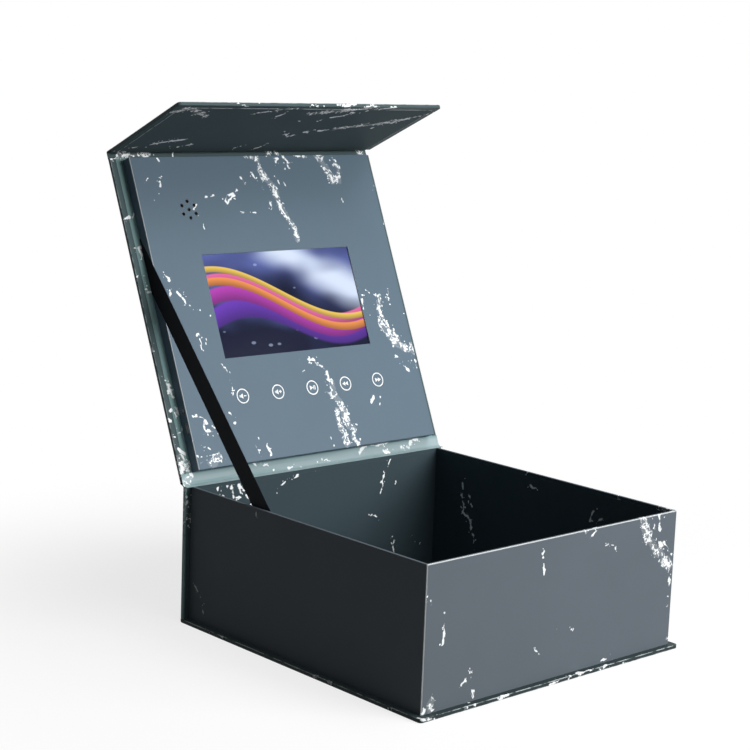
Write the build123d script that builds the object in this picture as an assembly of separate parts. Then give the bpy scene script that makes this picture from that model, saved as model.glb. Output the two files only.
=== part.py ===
from build123d import *
import os
from math import cos, radians, sin, tan

# A rigid presentation box covered in marbled paper. Its lid carries a raised block that
# holds a 7-inch display, five keys and a speaker, and a magnetic flap closes its front.
#
# Lengths are in millimetres. X runs to the right, Y to the back and Z up. The origin is the
# centre of the bottom board's underside. The box is drawn open, as it stands on a table.

# ---- Stock ----
paper = 0.2                 # covering paper with its glue
edge_bevel = 0.25           # paper's bevel over a board's square edge
case_board = 2.5            # grey board of the bottom, the spine, the lid and the flap
tray_board = 2.0            # grey board of the tray
turn_in = 15.0              # paper folded over an edge onto the board's other side
back_corner_radius = 2.0    # outside radius where the case turns up behind the tray
lining_inset = 5.0          # a lining sheet stops this far inside the covered edge
corner_radius = 3.0         # free corners of the bottom and the flap, and of the flap's lining

# ---- Tray ----
tray_width = 262.0
tray_depth = 263.0
tray_height = 105.4
tray_corner_radius = 1.0    # outside radius of the four upright edges
tape_thickness = 0.1        # gummed tape that holds each upright corner
tape_leg = 12.0
tape_drop = 4.0             # the tape ends this far below the rim
tray_lining_drop = 3.0      # the lining ends this far below the rim

# ---- Case ----
overhang = 5.3              # case beyond the tray at the front and the sides
lid_gap = 0.5               # closed lid's lining above the tray's rim
hinge_fold = 0.7            # outer paper's straight run below the lid board
lining_lift = 0.05          # lining above the rim that it crosses
lining_bend = 2.0           # lining's bend at the foot of the lid
hinge_gap = 3.0             # lid hinge's axis to the lid board's edge
flap_gap = 3.4              # flap hinge's axis to the boards' edges on both sides
flap_length = 101.0         # flap hinge's axis to the flap's free edge
flap_bend = 1.2             # bend of the paper between the lid and the flap
lid_angle = 113.3           # lid's opening, from closed to the stay ribbon's stop
flap_angle = 91.4           # angle between the lid and the flap as it stands

# ---- Block on the lid ----
block_depth = 9.5
block_side_clearance = 3.1  # block to the tray's lining, with the lid closed
block_front_clearance = 1.3
block_back_clearance = 3.5
panel_board_thickness = 1.0
pocket_clearance = 0.3      # a module in its pocket, each way

# ---- Display module ----
display_width = 165.0
display_height = 100.0
display_x = 0.5
display_rise = 1.2          # display's centre above the middle of the block
screen_width = 154.4
screen_height = 86.0
bezel_sheet = 0.3
bezel_corner = 1.0
glass_clearance = 0.2       # inside the bezel, each way
guide_clearance = 0.1
glass_thickness = 1.4
backlight_thickness = 2.2
bezel_lip_clearance = 0.1

# ---- Keys ----
key_count = 5
key_pitch = 36.0
key_row_x = 4.2
key_row_height = 53.2       # row above the block's lower edge
key_diameter = 12.4
key_clearance = 0.2         # around the cap in its hole
key_flange_width = 14.8     # square flange, which keeps the cap's symbol upright
key_flange_thickness = 1.0
key_flange_clearance = 0.05
key_post_width = 4.0
key_travel = 0.25
plunger_diameter = 3.4
plunger_clearance = 0.06
plunger_height = 0.8        # above the switch's body
plunger_in_body = 0.7
plunger_floor = 0.15        # plunger's foot above the bottom of its well, pressed down
key_stop = 0.4              # cap's flange above the plunger's top, pressed down
switch_size = 6.0
switch_height = 3.5
key_board_width = 15.4
key_board_end = 8.0         # board beyond the outer keys' centres
key_board_thickness = 1.0

# ---- Speaker ----
speaker_side_gap = 32.4     # speaker's rim inside the block's left side
speaker_gap = 16.8          # display module's upper edge to the speaker's rim
speaker_diameter = 28.0
speaker_depth = 5.2
speaker_flange = 1.0
speaker_rim = 2.6           # width of the flat rim
speaker_magnet_diameter = 15.0
speaker_magnet_depth = 2.0
basket_sheet = 0.6
diaphragm_setback = 0.9     # diaphragm behind the face board
diaphragm_thickness = 0.3
coil_cap_diameter = 9.0
coil_cap_rise = 0.5
speaker_hole = 3.0
speaker_hole_circle = 7.0   # radius of the ring of holes
speaker_hole_count = 6

# ---- Main circuit board, charging inlet and power switch ----
main_board_width = 40.0
main_board_height = 52.0
main_board_thickness = 1.2
main_board_edge = 1.5       # board's left edge inside the block's side
main_board_low = 5.0        # board's lower edge above the block's lower edge
main_board_level = 5.0      # board's front face in front of the lid's lining
chip_column = 19.0          # columns' middles inside the board's left edge
socket_column = 34.0
chip_gap = 4.5
chip_rise = 1.2
processor_size = 10.0
memory_width = 9.0
memory_height = 7.0
regulator_size = 5.0
card_socket_width = 14.0
card_socket_height = 6.0
coil_size = 6.0
socket_width = 4.5
socket_length = 7.0
socket_rise = 2.2
inlet_height = 33.8         # inlet's centre above the block's lower edge
inlet_length = 7.5
inlet_thickness = 2.6
inlet_depth = 5.6
inlet_wall = 0.3
inlet_corner = 0.5
inlet_tongue = 0.6
inlet_tongue_gap = 1.6      # tongue's edge inside the shell's side
inlet_tongue_setback = 0.8
inlet_setback = 0.3
power_height = 47.0
power_length = 8.4
power_thickness = 2.4
power_depth = 3.4
knob_length = 2.0
knob_thickness = 1.2
knob_reach = 0.4            # knob's tip beyond the block's side
knob_travel = 2.0
knob_clearance = 0.1
knob_foot = 1.6             # knob inside the switch's body
knob_ease = 0.2
slot_clearance = 0.4        # around the inlet and the knob in the block's side

# ---- Battery ----
battery_width = 60.0
battery_height = 45.0
battery_thickness = 4.8
battery_side_gap = 29.0     # battery's edge inside the block's right side
battery_gap = 12.0          # display module's upper edge to the battery
battery_corner = 2.0
battery_seal = 3.0          # sealed edge along the top of the pouch
battery_foil = 0.4

# ---- Magnets ----
magnet_diameter = 12.0
magnet_thickness = 1.5
magnet_spread = 130.0       # between the two closing magnets
magnet_from_edge = 24.0     # magnets' centres above the flap's free edge
magnet_clearance = 0.1
keeper_thickness = 1.0
sensor_magnet_diameter = 6.0
sensor_magnet_thickness = 1.0
sensor_size = 4.0
sensor_thickness = 1.5
sensor_height = 11.0        # sensor above the block's lower edge
sensor_edge = 0.3           # sensor inside the main board's edge

# ---- Stay ribbon ----
ribbon_width = 16.0
ribbon_thickness = 0.3
ribbon_rim_distance = 85.6  # hinge axis to the ribbon's middle, measured along the tray's rim
ribbon_tail = 30.0          # ribbon glued down the tray's side below the rim
ribbon_clearance = 0.05
ribbon_slope = 46.3

# ---- Worked out from the sizes above ----
case_thickness = case_board + 2 * paper
lined_thickness = case_thickness + paper
fold_radius = 2 * paper     # outer paper's bend at the foot of the lid board
case_width = tray_width + 2 * overhang
case_depth = overhang + tray_depth + case_thickness
case_front = -case_depth / 2
spine_back = case_depth / 2
tray_front = case_front + overhang
tray_back = tray_front + tray_depth
tray_rim = case_thickness + tray_height
wall_thickness = tray_board + 3 * paper
tray_inner_front = tray_front + wall_thickness
tray_inner_back = tray_back - wall_thickness
tray_inner_side = tray_width / 2 - wall_thickness
hinge_y = spine_back
hinge_z = tray_rim + lid_gap
flap_start = hinge_y - case_front - lined_thickness
block_start = hinge_y - tray_inner_back + block_back_clearance
block_end = hinge_y - tray_inner_front - block_front_clearance
block_side = tray_inner_side - block_side_clearance
panel_back = block_depth - paper - panel_board_thickness
display_middle = (block_start + block_end) / 2 + display_rise
display_floor = panel_back - bezel_sheet - glass_thickness - backlight_thickness
key_row = block_start + key_row_height
key_places = [key_row_x + (i - (key_count - 1) / 2) * key_pitch for i in range(key_count)]
key_flange_top = panel_back - key_flange_clearance
key_flange_bottom = key_flange_top - key_flange_thickness
plunger_top = key_flange_bottom - key_travel - key_stop
switch_top = plunger_top - plunger_height
key_board_top = switch_top - switch_height
key_board_floor = key_board_top - key_board_thickness
display_top = display_middle + display_height / 2
speaker_x = -block_side + speaker_side_gap + speaker_diameter / 2
speaker_middle = display_top + speaker_gap + speaker_diameter / 2
main_board_left = -block_side + main_board_edge
main_board_floor = main_board_level - main_board_thickness
inlet_middle = block_start + inlet_height
power_middle = block_start + power_height
battery_x = block_side - battery_side_gap - battery_width / 2
battery_middle = display_top + battery_gap + battery_height / 2
battery_floor = panel_back - battery_thickness - pocket_clearance

# ---- Where the lid and the flap stand ----
# On the lid, X runs to the right, Y from the hinge to the flap and Z out of the lining.
# The flap has the same axes, counted from its own hinge.
lean = lid_angle - 90
lid_place = Plane(
    origin=(0, hinge_y, hinge_z),
    x_dir=(1, 0, 0),
    z_dir=(0, -cos(radians(lean)), sin(radians(lean))),
).location
flap_place = lid_place * Pos(0, flap_start, 0) * Rot(180 - flap_angle, 0, 0)


def solid_box(x_span, y_span, z_span):
    """A square-edged solid between three pairs of limits."""
    spans = (x_span, y_span, z_span)
    low = [span[0] for span in spans]
    size = [span[1] - span[0] for span in spans]
    return Pos(*low) * Box(*size, align=(Align.MIN, Align.MIN, Align.MIN))


def disc(x, y, diameter, z_low, z_high):
    return Pos(x, y, z_low) * Cylinder(
        diameter / 2, z_high - z_low, align=(Align.CENTER, Align.CENTER, Align.MIN)
    )


def side_span(inset=0.0):
    return (-case_width / 2 + inset, case_width / 2 - inset)


# ---- Covered boards of the case ----
# Each is drawn with its outer face at z = 0 and its inner face up.
def round_ends(body, radius, folded_high, folded_low):
    """The body with the upright corners of its folded ends rounded."""
    upright = body.edges().filter_by(Axis.Z).sort_by(Axis.Y)
    if folded_high:
        return fillet(upright[-2:], radius)
    if folded_low:
        return fillet(upright[:2], radius)
    return body


def case_parts(y_low, y_high, folded_high=False, folded_low=False):
    """Grey board and its outer paper. A folded end has the paper turned in over it, and
    at any other end the paper runs on into a hinge."""
    beyond = lined_thickness
    low = y_low if folded_low else y_low - beyond
    high = y_high if folded_high else y_high + beyond
    cover = solid_box(side_span(), (low, high), (0, case_thickness))
    cover = round_ends(cover, corner_radius, folded_high, folded_low)
    cover = chamfer(cover.edges().filter_by(Axis.Z, reverse=True), edge_bevel)
    core = solid_box(
        side_span(paper), (low + paper, high - paper), (paper, paper + case_board)
    )
    core = round_ends(core, corner_radius - paper, folded_high, folded_low)
    kept = solid_box(side_span(-1), (y_low, y_high), (-1, case_thickness + 1))
    low_band = y_low + turn_in if folded_low else y_low - beyond
    high_band = y_high - turn_in if folded_high else y_high + beyond
    opening = solid_box(
        side_span(turn_in), (low_band, high_band), (paper + case_board, case_thickness + 1)
    )
    board = core & kept
    wrap = (cover - core - opening) & kept
    return board, wrap


def lining(y_low, y_high, inset_high, wrap):
    """Lining sheet: it lies on the board and over the edges of the turned-in paper."""
    sheet = solid_box(
        side_span(lining_inset),
        (y_low, y_high - inset_high),
        (case_thickness - paper, lined_thickness),
    )
    sheet = round_ends(sheet, corner_radius, inset_high > 0, False)
    return sheet - wrap


def rounded_back(inset):
    """Block that rounds the bottom board's lower back edge, drawn in by an inset."""
    block = solid_box(
        side_span(-1), (case_front - 1, spine_back - inset), (inset, case_thickness + 1)
    )
    edge = block.edges().filter_by(Axis.X).group_by(Axis.Z)[0].sort_by(Axis.Y)[-1]
    return fillet(edge, back_corner_radius - inset)


def bottom_parts():
    """Bottom board and its paper, which turns up behind the board into the spine."""
    board, wrap = case_parts(case_front, spine_back, folded_low=True)
    inside = board & rounded_back(paper)
    outside = (board + wrap) & rounded_back(0)
    return inside, outside - inside


def spine_parts():
    """Spine board, which stands on the bottom board behind the tray, and its paper."""
    board, wrap = case_parts(case_thickness, tray_rim)
    place = Plane(origin=(0, spine_back, 0), x_dir=(1, 0, 0), z_dir=(0, -1, 0)).location
    return place * board, place * wrap


# ---- Tray ----
def tray_box(inset, z_low, z_high, radius):
    """Upright block with the tray's outline drawn in by an inset."""
    body = solid_box(
        (-tray_width / 2 + inset, tray_width / 2 - inset),
        (tray_front + inset, tray_back - inset),
        (z_low, z_high),
    )
    if radius > 0:
        body = fillet(body.edges().filter_by(Axis.Z), radius)
    return body


def rim_edges(body, level):
    """Edges of the flat ring on top of a wall."""
    return body.faces().filter_by(Axis.Z).filter_by_position(
        Axis.Z, level - 0.01, level + 0.01
    ).edges()


def tray_walls():
    """The four walls as one ring, before it is cut at the corners."""
    top = tray_rim - paper
    return tray_box(paper, case_thickness, top, tray_corner_radius - paper) - tray_box(
        paper + tray_board, case_thickness - 1, top + 1, 0
    )


def tray_wall_boards(ring):
    inner = paper + tray_board
    across = (-tray_width, tray_width)
    along = (tray_front + inner, tray_back - inner)
    up = (0, tray_rim + 1)
    side = tray_width / 2 - inner
    front = ring & solid_box(across, (tray_front - 1, along[0]), up)
    back = ring & solid_box(across, (along[1], tray_back + 1), up)
    left = ring & solid_box((-tray_width, -side), along, up)
    right = ring & solid_box((side, tray_width), along, up)
    return front, back, left, right


def tray_floor():
    return tray_box(paper + tray_board, case_thickness, case_thickness + tray_board, 0)


def corner_tapes():
    """Gummed tape folded round each upright corner, under the covering paper."""
    z_span = (case_thickness, tray_rim - tape_drop)
    outside = paper - tape_thickness
    sleeve = tray_box(outside, *z_span, tray_corner_radius - outside) - tray_box(
        paper, *z_span, tray_corner_radius - paper
    )
    tapes = Part()
    x_reach = (tray_width / 2 - tape_leg, tray_width / 2)
    for x_span in ((-x_reach[1], -x_reach[0]), x_reach):
        for y_span in ((tray_front, tray_front + tape_leg), (tray_back - tape_leg, tray_back)):
            tapes += sleeve & solid_box(x_span, y_span, z_span)
    return tapes


def tray_wrap(ring, tapes):
    """Paper over the outside, the rim and the top of the inside."""
    inner = 2 * paper + tray_board
    cover = tray_box(0, case_thickness, tray_rim, tray_corner_radius) - tray_box(
        inner, case_thickness - 1, tray_rim + 1, 0
    )
    cover = chamfer(rim_edges(cover, tray_rim), edge_bevel)
    below = tray_box(paper + tray_board, case_thickness - 1, tray_rim - turn_in, 0)
    return cover - ring - below - tapes


def tray_lining(wrap):
    """Lining of the floor and the walls, over the lower edge of the turned-in paper."""
    floor = case_thickness + tray_board
    top = tray_rim - tray_lining_drop
    outside = tray_box(paper + tray_board, floor, top, 0)
    inside = tray_box(wall_thickness, floor + paper, top + 1, 0)
    return outside - inside - wrap


# ---- Magnets in the front wall, the left wall and the flap ----
magnet_places = (-magnet_spread / 2, magnet_spread / 2)
keeper_z = hinge_z - flap_length + magnet_from_edge
sensor_place_y = hinge_y - block_start - sensor_height
sensor_level = main_board_level + sensor_thickness / 2


def keepers(diameter, thickness):
    """Steel discs let into the inner side of the front wall's board."""
    back = tray_front + paper + tray_board
    discs = Part()
    for x in magnet_places:
        discs += Pos(x, back, keeper_z) * Rot(90, 0, 0) * Cylinder(
            diameter / 2, thickness, align=(Align.CENTER, Align.CENTER, Align.MIN)
        )
    return discs


def sensor_magnet(diameter, thickness):
    """Magnet let into the left wall, where the closed lid brings its sensor."""
    inner = -tray_width / 2 + paper + tray_board
    return Pos(inner, sensor_place_y, hinge_z - sensor_level) * Rot(0, -90, 0) * Cylinder(
        diameter / 2, thickness, align=(Align.CENTER, Align.CENTER, Align.MIN)
    )


def flap_magnets(diameter, thickness):
    """Closing magnets let into the inner side of the flap's board."""
    top = paper + case_board - lined_thickness
    discs = Part()
    for x in magnet_places:
        discs += disc(x, flap_length - magnet_from_edge, diameter, top - thickness, top)
    return discs


# ---- Lid and flap cases ----
def lid_parts():
    board, wrap = case_parts(hinge_gap, flap_start - flap_gap)
    sheet = lining(hinge_gap, flap_start - flap_gap, 0, wrap)
    down = Pos(0, 0, -lined_thickness)
    return down * board, down * wrap, down * sheet


def flap_parts():
    board, wrap = case_parts(flap_gap, flap_length, folded_high=True)
    sheet = lining(flap_gap, flap_length, lining_inset, wrap)
    down = Pos(0, 0, -lined_thickness)
    pockets = flap_magnets(magnet_diameter + 2 * magnet_clearance, magnet_thickness)
    return (down * board) - pockets, down * wrap, down * sheet


def strip_along(path, thickness):
    """Paper strip across the whole width of the case, from its side view."""
    section = trace(path, thickness)
    side = Plane(origin=(-case_width / 2, 0, 0), x_dir=(0, 1, 0), z_dir=(1, 0, 0))
    return extrude(side * section, case_width)


def lid_point(v, w):
    """Side-view place of a point of the lid: v along the lid, w out of its lining."""
    a = radians(lean)
    return (hinge_y + v * sin(a) - w * cos(a), hinge_z + v * cos(a) + w * sin(a))


def hinge_outer_strip():
    """Covering paper between the spine's top and the lid board's lower edge."""
    level = -lined_thickness + paper / 2
    bend = FilletPolyline(
        (spine_back - paper / 2, tray_rim + paper / 2),
        lid_point(hinge_gap - hinge_fold, level),
        lid_point(hinge_gap, level),
        radius=fold_radius,
    )
    return strip_along(bend, paper)


def hinge_lining_strip():
    """Lining over the back wall and the spine that runs up the lid to the block."""
    level = tray_rim + paper / 2 + lining_lift
    a = radians(lean)
    rise = (level - hinge_z - (paper / 2) * sin(a)) / cos(a)
    path = FilletPolyline(
        (tray_inner_back, level),
        lid_point(rise, paper / 2),
        lid_point(block_start, paper / 2),
        radius=lining_bend,
    )
    return strip_along(path, paper)


def flap_hinge_strip():
    """Covering paper and lining that turn the corner from the lid to the flap."""
    turn = radians(180 - flap_angle)
    level = lined_thickness - paper
    corner = (flap_start + level * tan(turn / 2), -level)
    reach = flap_gap + level * tan(turn / 2)
    bend = FilletPolyline(
        lid_point(flap_start - flap_gap, -level),
        lid_point(*corner),
        lid_point(corner[0] + reach * cos(turn), corner[1] + reach * sin(turn)),
        radius=flap_bend,
    )
    return strip_along(bend, 2 * paper)


# ---- Block on the lid ----
def window():
    return solid_box(
        (display_x - screen_width / 2, display_x + screen_width / 2),
        (display_middle - screen_height / 2, display_middle + screen_height / 2),
        (panel_back - 1, block_depth + 1),
    )


def sound_holes():
    """Seven round holes over the speaker: one in the middle and six round it."""
    spots = [(0, 0)]
    for i in range(speaker_hole_count):
        turn = radians(90 + i * 360 / speaker_hole_count)
        spots.append((speaker_hole_circle * cos(turn), speaker_hole_circle * sin(turn)))
    holes = Part()
    for x, y in spots:
        holes += disc(
            speaker_x + x, speaker_middle + y, speaker_hole, panel_back - 1, block_depth + 1
        )
    return holes


def key_holes():
    holes = Part()
    for x in key_places:
        holes += disc(
            x, key_row, key_diameter + 2 * key_clearance, panel_back - 1, block_depth + 1
        )
    return holes


def panel_openings():
    return window() + sound_holes() + key_holes()


def side_slots():
    """Openings in the block's left side for the charging inlet and the power knob."""
    x_span = (-block_side - 1, main_board_left + power_depth)
    inlet = solid_box(
        x_span,
        (inlet_middle - inlet_length / 2 - slot_clearance,
         inlet_middle + inlet_length / 2 + slot_clearance),
        (main_board_level - slot_clearance,
         main_board_level + inlet_thickness + slot_clearance),
    )
    half = (knob_length + knob_travel) / 2 + slot_clearance
    middle = main_board_level + power_thickness / 2
    knob = solid_box(
        x_span,
        (power_middle - half, power_middle + half),
        (middle - knob_thickness / 2 - slot_clearance,
         middle + knob_thickness / 2 + slot_clearance),
    )
    return inlet + knob


def block_layer(inset, z_low, z_high):
    """Layer of the block with its outline drawn in by an inset."""
    return solid_box(
        (-block_side + inset, block_side - inset),
        (block_start + inset, block_end - inset),
        (z_low, z_high),
    )


def panel_wrap():
    """Covering paper over the block's face and down its four sides."""
    cover = block_layer(0, 0, block_depth)
    cover = chamfer(rim_edges(cover, block_depth), edge_bevel)
    core = block_layer(paper, -1, block_depth - paper)
    return cover - core - panel_openings() - side_slots()


def panel_board():
    """Face board of the block with the window, the key holes and the sound holes."""
    return block_layer(paper, panel_back, block_depth - paper) - panel_openings()


def pocket(x_middle, y_middle, width, height, floor):
    return solid_box(
        (x_middle - width / 2 - pocket_clearance, x_middle + width / 2 + pocket_clearance),
        (y_middle - height / 2 - pocket_clearance, y_middle + height / 2 + pocket_clearance),
        (floor, panel_back + 1),
    )


def block_frame():
    """Spacer of the block with a pocket for each module."""
    frame = block_layer(paper, 0, panel_back)
    frame -= pocket(display_x, display_middle, display_width, display_height, display_floor)
    key_row_length = (key_count - 1) * key_pitch + 2 * key_board_end
    frame -= pocket(key_row_x, key_row, key_row_length, key_board_width, key_board_floor)
    frame -= disc(
        speaker_x, speaker_middle, speaker_diameter + 2 * pocket_clearance,
        panel_back - speaker_depth, panel_back + 1,
    )
    frame -= pocket(battery_x, battery_middle, battery_width, battery_height, battery_floor)
    frame -= pocket(
        main_board_left + main_board_width / 2,
        block_start + main_board_low + main_board_height / 2,
        main_board_width, main_board_height, main_board_floor,
    )
    return frame - side_slots()


# ---- Display module ----
def display_span(inset):
    return (
        (display_x - display_width / 2 + inset, display_x + display_width / 2 - inset),
        (display_middle - display_height / 2 + inset,
         display_middle + display_height / 2 - inset),
    )


def display_bezel():
    """Folded steel frame round the module, open at the back and over the screen."""
    shell = solid_box(*display_span(0), (display_floor, panel_back))
    shell = fillet(shell.edges().filter_by(Axis.Z), bezel_corner)
    shell -= solid_box(*display_span(bezel_sheet), (display_floor - 1, panel_back - bezel_sheet))
    view = solid_box(
        (display_x - screen_width / 2 - bezel_lip_clearance,
         display_x + screen_width / 2 + bezel_lip_clearance),
        (display_middle - screen_height / 2 - bezel_lip_clearance,
         display_middle + screen_height / 2 + bezel_lip_clearance),
        (display_floor - 1, panel_back + 1),
    )
    return shell - view


def display_glass():
    top = panel_back - bezel_sheet
    inset = bezel_sheet + glass_clearance
    return solid_box(*display_span(inset), (top - glass_thickness, top))


def display_backlight():
    """Light guide in its moulded tray, under the glass."""
    top = panel_back - bezel_sheet - glass_thickness
    return solid_box(*display_span(bezel_sheet + guide_clearance), (display_floor, top))


# ---- Keys ----
def key_block(x, width, z_low, z_high):
    """Square block of a key, centred in the row."""
    half = width / 2
    return solid_box((x - half, x + half), (key_row - half, key_row + half), (z_low, z_high))


def key_cap(x):
    """Moulded cap with a flange behind the panel and a post that meets the switch."""
    cap = disc(x, key_row, key_diameter, key_flange_bottom, block_depth)
    cap += key_block(x, key_flange_width, key_flange_bottom, key_flange_top)
    return cap + key_block(x, key_post_width, plunger_top, key_flange_bottom)


def key_plunger(x):
    return disc(x, key_row, plunger_diameter, switch_top - plunger_in_body, plunger_top)


def key_switches():
    """Push switches on the key board, each with a well for its plunger."""
    well = plunger_in_body + key_travel + plunger_floor
    switches = Part()
    for x in key_places:
        switches += key_block(x, switch_size, key_board_top, switch_top) - disc(
            x, key_row, plunger_diameter + 2 * plunger_clearance, switch_top - well,
            switch_top + 1,
        )
    return switches


def key_board():
    reach = (key_count - 1) / 2 * key_pitch + key_board_end
    return solid_box(
        (key_row_x - reach, key_row_x + reach),
        (key_row - key_board_width / 2, key_row + key_board_width / 2),
        (key_board_floor, key_board_top),
    )


# ---- Speaker ----
def speaker_disc(diameter, z_low, z_high):
    """Disc on the speaker's axis, with its heights counted from the face board's back."""
    return disc(speaker_x, speaker_middle, diameter, panel_back + z_low, panel_back + z_high)


def speaker_frame():
    """Pressed steel basket with a flat rim behind the panel."""
    bottom = -speaker_depth + speaker_magnet_depth
    mouth = speaker_diameter - 2 * speaker_rim
    cup = speaker_disc(mouth + 2 * basket_sheet, bottom, 0)
    cup += speaker_disc(speaker_diameter, -speaker_flange, 0)
    return cup - speaker_disc(mouth, bottom + basket_sheet, 1)


def speaker_cone():
    """Moulded diaphragm across the basket's mouth, with the coil's cap in its middle."""
    mouth = speaker_diameter - 2 * speaker_rim
    top = -diaphragm_setback
    cone = speaker_disc(mouth, top - diaphragm_thickness, top)
    return cone + speaker_disc(coil_cap_diameter, top, top + coil_cap_rise)


def speaker_magnet():
    return speaker_disc(
        speaker_magnet_diameter, -speaker_depth, -speaker_depth + speaker_magnet_depth
    )


# ---- Electronics at the block's lower left ----
def main_board():
    low = block_start + main_board_low
    return solid_box(
        (main_board_left, main_board_left + main_board_width),
        (low, low + main_board_height),
        (main_board_floor, main_board_level),
    )


def board_chips():
    """Two columns of chips, coil and sockets on the main board, built up from its foot."""
    socket = (socket_width, socket_length, socket_rise)
    columns = (
        (chip_column, (
            (regulator_size, regulator_size, chip_rise),
            (processor_size, processor_size, chip_rise),
            (memory_width, memory_height, chip_rise),
            (card_socket_width, card_socket_height, socket_rise),
        )),
        (socket_column, (socket, (coil_size, coil_size, socket_rise), socket, socket)),
    )
    chips = Part()
    for column, stack in columns:
        middle = main_board_left + column
        low = block_start + main_board_low + chip_gap
        for width, height, rise in stack:
            chips += solid_box(
                (middle - width / 2, middle + width / 2),
                (low, low + height),
                (main_board_level, main_board_level + rise),
            )
            low += height + chip_gap
    return chips


def usb_inlet():
    """Drawn steel shell of the charging inlet with its contact tongue."""
    mouth = -block_side + inlet_setback
    x_span = (mouth, mouth + inlet_depth)
    y_span = (inlet_middle - inlet_length / 2, inlet_middle + inlet_length / 2)
    z_span = (main_board_level, main_board_level + inlet_thickness)
    shell = solid_box(x_span, y_span, z_span)
    shell = fillet(shell.edges().filter_by(Axis.X), inlet_corner)
    hollow = solid_box(
        (mouth - 1, mouth + inlet_depth - inlet_wall),
        (y_span[0] + inlet_wall, y_span[1] - inlet_wall),
        (z_span[0] + inlet_wall, z_span[1] - inlet_wall),
    )
    middle = sum(z_span) / 2
    tongue = solid_box(
        (mouth + inlet_tongue_setback, x_span[1]),
        (y_span[0] + inlet_tongue_gap, y_span[1] - inlet_tongue_gap),
        (middle - inlet_tongue / 2, middle + inlet_tongue / 2),
    )
    return shell - hollow + tongue


def power_knob_solid(clearance, travel):
    """Sliding knob, or with a clearance and a travel the room that it needs."""
    middle = main_board_level + power_thickness / 2
    return solid_box(
        (-block_side - knob_reach, main_board_left + knob_foot + clearance),
        (power_middle + knob_travel / 2 - knob_length / 2 - clearance - travel,
         power_middle + knob_travel / 2 + knob_length / 2 + clearance),
        (middle - knob_thickness / 2 - clearance, middle + knob_thickness / 2 + clearance),
    )


def power_knob():
    """Knob with its two outer edges eased."""
    knob = power_knob_solid(0, 0)
    return chamfer(knob.faces().sort_by(Axis.X)[0].edges().filter_by(Axis.Z), knob_ease)


def power_switch_body():
    body = solid_box(
        (main_board_left, main_board_left + power_depth),
        (power_middle - power_length / 2, power_middle + power_length / 2),
        (main_board_level, main_board_level + power_thickness),
    )
    return body - power_knob_solid(knob_clearance, knob_travel)


def lid_sensor():
    """Magnet sensor that wakes the player when the lid opens."""
    middle = block_start + sensor_height
    return solid_box(
        (main_board_left + sensor_edge, main_board_left + sensor_edge + sensor_size),
        (middle - sensor_size / 2, middle + sensor_size / 2),
        (main_board_level, main_board_level + sensor_thickness),
    )


def battery():
    """Flat pouch cell with a sealed edge along its top."""
    x_span = (battery_x - battery_width / 2, battery_x + battery_width / 2)
    y_low = battery_middle - battery_height / 2
    y_seal = y_low + battery_height - battery_seal
    cell = solid_box(
        x_span, (y_low, y_seal), (battery_floor, battery_floor + battery_thickness)
    )
    cell = fillet(cell.edges().filter_by(Axis.Y), battery_corner)
    middle = battery_floor + battery_thickness / 2
    edge = solid_box(
        (x_span[0] + battery_corner, x_span[1] - battery_corner),
        (y_seal, y_seal + battery_seal),
        (middle - battery_foil / 2, middle + battery_foil / 2),
    )
    return cell + edge


# ---- Stay ribbon ----
def stay_ribbon():
    """Ribbon from under the block's left side to the inside of the tray's left wall. It
    is taut when the lid is open and stops it there."""
    wall_x = -tray_inner_side + ribbon_clearance + ribbon_thickness / 2
    block_x = -block_side - ribbon_clearance - ribbon_thickness / 2
    slope = radians(ribbon_slope)
    rim_y = hinge_y - ribbon_rim_distance
    side = Plane(
        origin=(0, rim_y, tray_rim),
        x_dir=(0, cos(slope), sin(slope)),
        z_dir=(0, sin(slope), -cos(slope)),
    )
    lid_middle = ribbon_to_lid()
    path = Polyline(
        (-3 * ribbon_tail, wall_x),
        (0, wall_x),
        (lid_middle - 2 * ribbon_width, block_x),
        (lid_middle + 3 * ribbon_width, block_x),
    )
    band = extrude(side * trace(path, ribbon_thickness), ribbon_width / 2, both=True)
    low_cut = solid_box(
        (-tray_width, 0), (-2 * tray_depth, 2 * tray_depth), (-tray_depth, tray_rim - ribbon_tail)
    )
    high_cut = lid_place * solid_box(
        (-tray_width, 0), (-tray_depth, 3 * tray_depth), (-2 * tray_depth, ribbon_clearance)
    )
    return band - low_cut - high_cut


def ribbon_to_lid():
    """Length of the ribbon's middle line from the tray's rim to the lid's lining."""
    slope = radians(ribbon_slope)
    a = radians(lean)
    start = ribbon_rim_distance * cos(a) - lid_gap * sin(a)
    fall = cos(slope) * cos(a) - sin(slope) * sin(a)
    return start / fall


def write(name, shape):
    export_step(shape, "parts/" + name + ".step")


def write_base():
    board, wrap = bottom_parts()
    write("bottom_board", board)
    write("bottom_wrap", wrap)
    board, wrap = spine_parts()
    write("spine_board", board)
    write("spine_wrap", wrap)
    ring = tray_walls()
    tapes = corner_tapes()
    wrap = tray_wrap(ring, tapes)
    front, back, left, right = tray_wall_boards(ring)
    room = 2 * magnet_clearance
    write("tray_front_wall", front - keepers(magnet_diameter + room, keeper_thickness))
    write("tray_back_wall", back)
    write(
        "tray_left_wall",
        left - sensor_magnet(sensor_magnet_diameter + room, sensor_magnet_thickness),
    )
    write("tray_right_wall", right)
    write("tray_floor", tray_floor())
    write("corner_tapes", tapes)
    write("tray_wrap", wrap)
    write("tray_lining", tray_lining(wrap))
    write("front_keepers", keepers(magnet_diameter, keeper_thickness))
    write("sensor_magnet", sensor_magnet(sensor_magnet_diameter, sensor_magnet_thickness))
    write("hinge_outer_strip", hinge_outer_strip())
    write("hinge_lining_strip", hinge_lining_strip())
    write("stay_ribbon", stay_ribbon())


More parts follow.
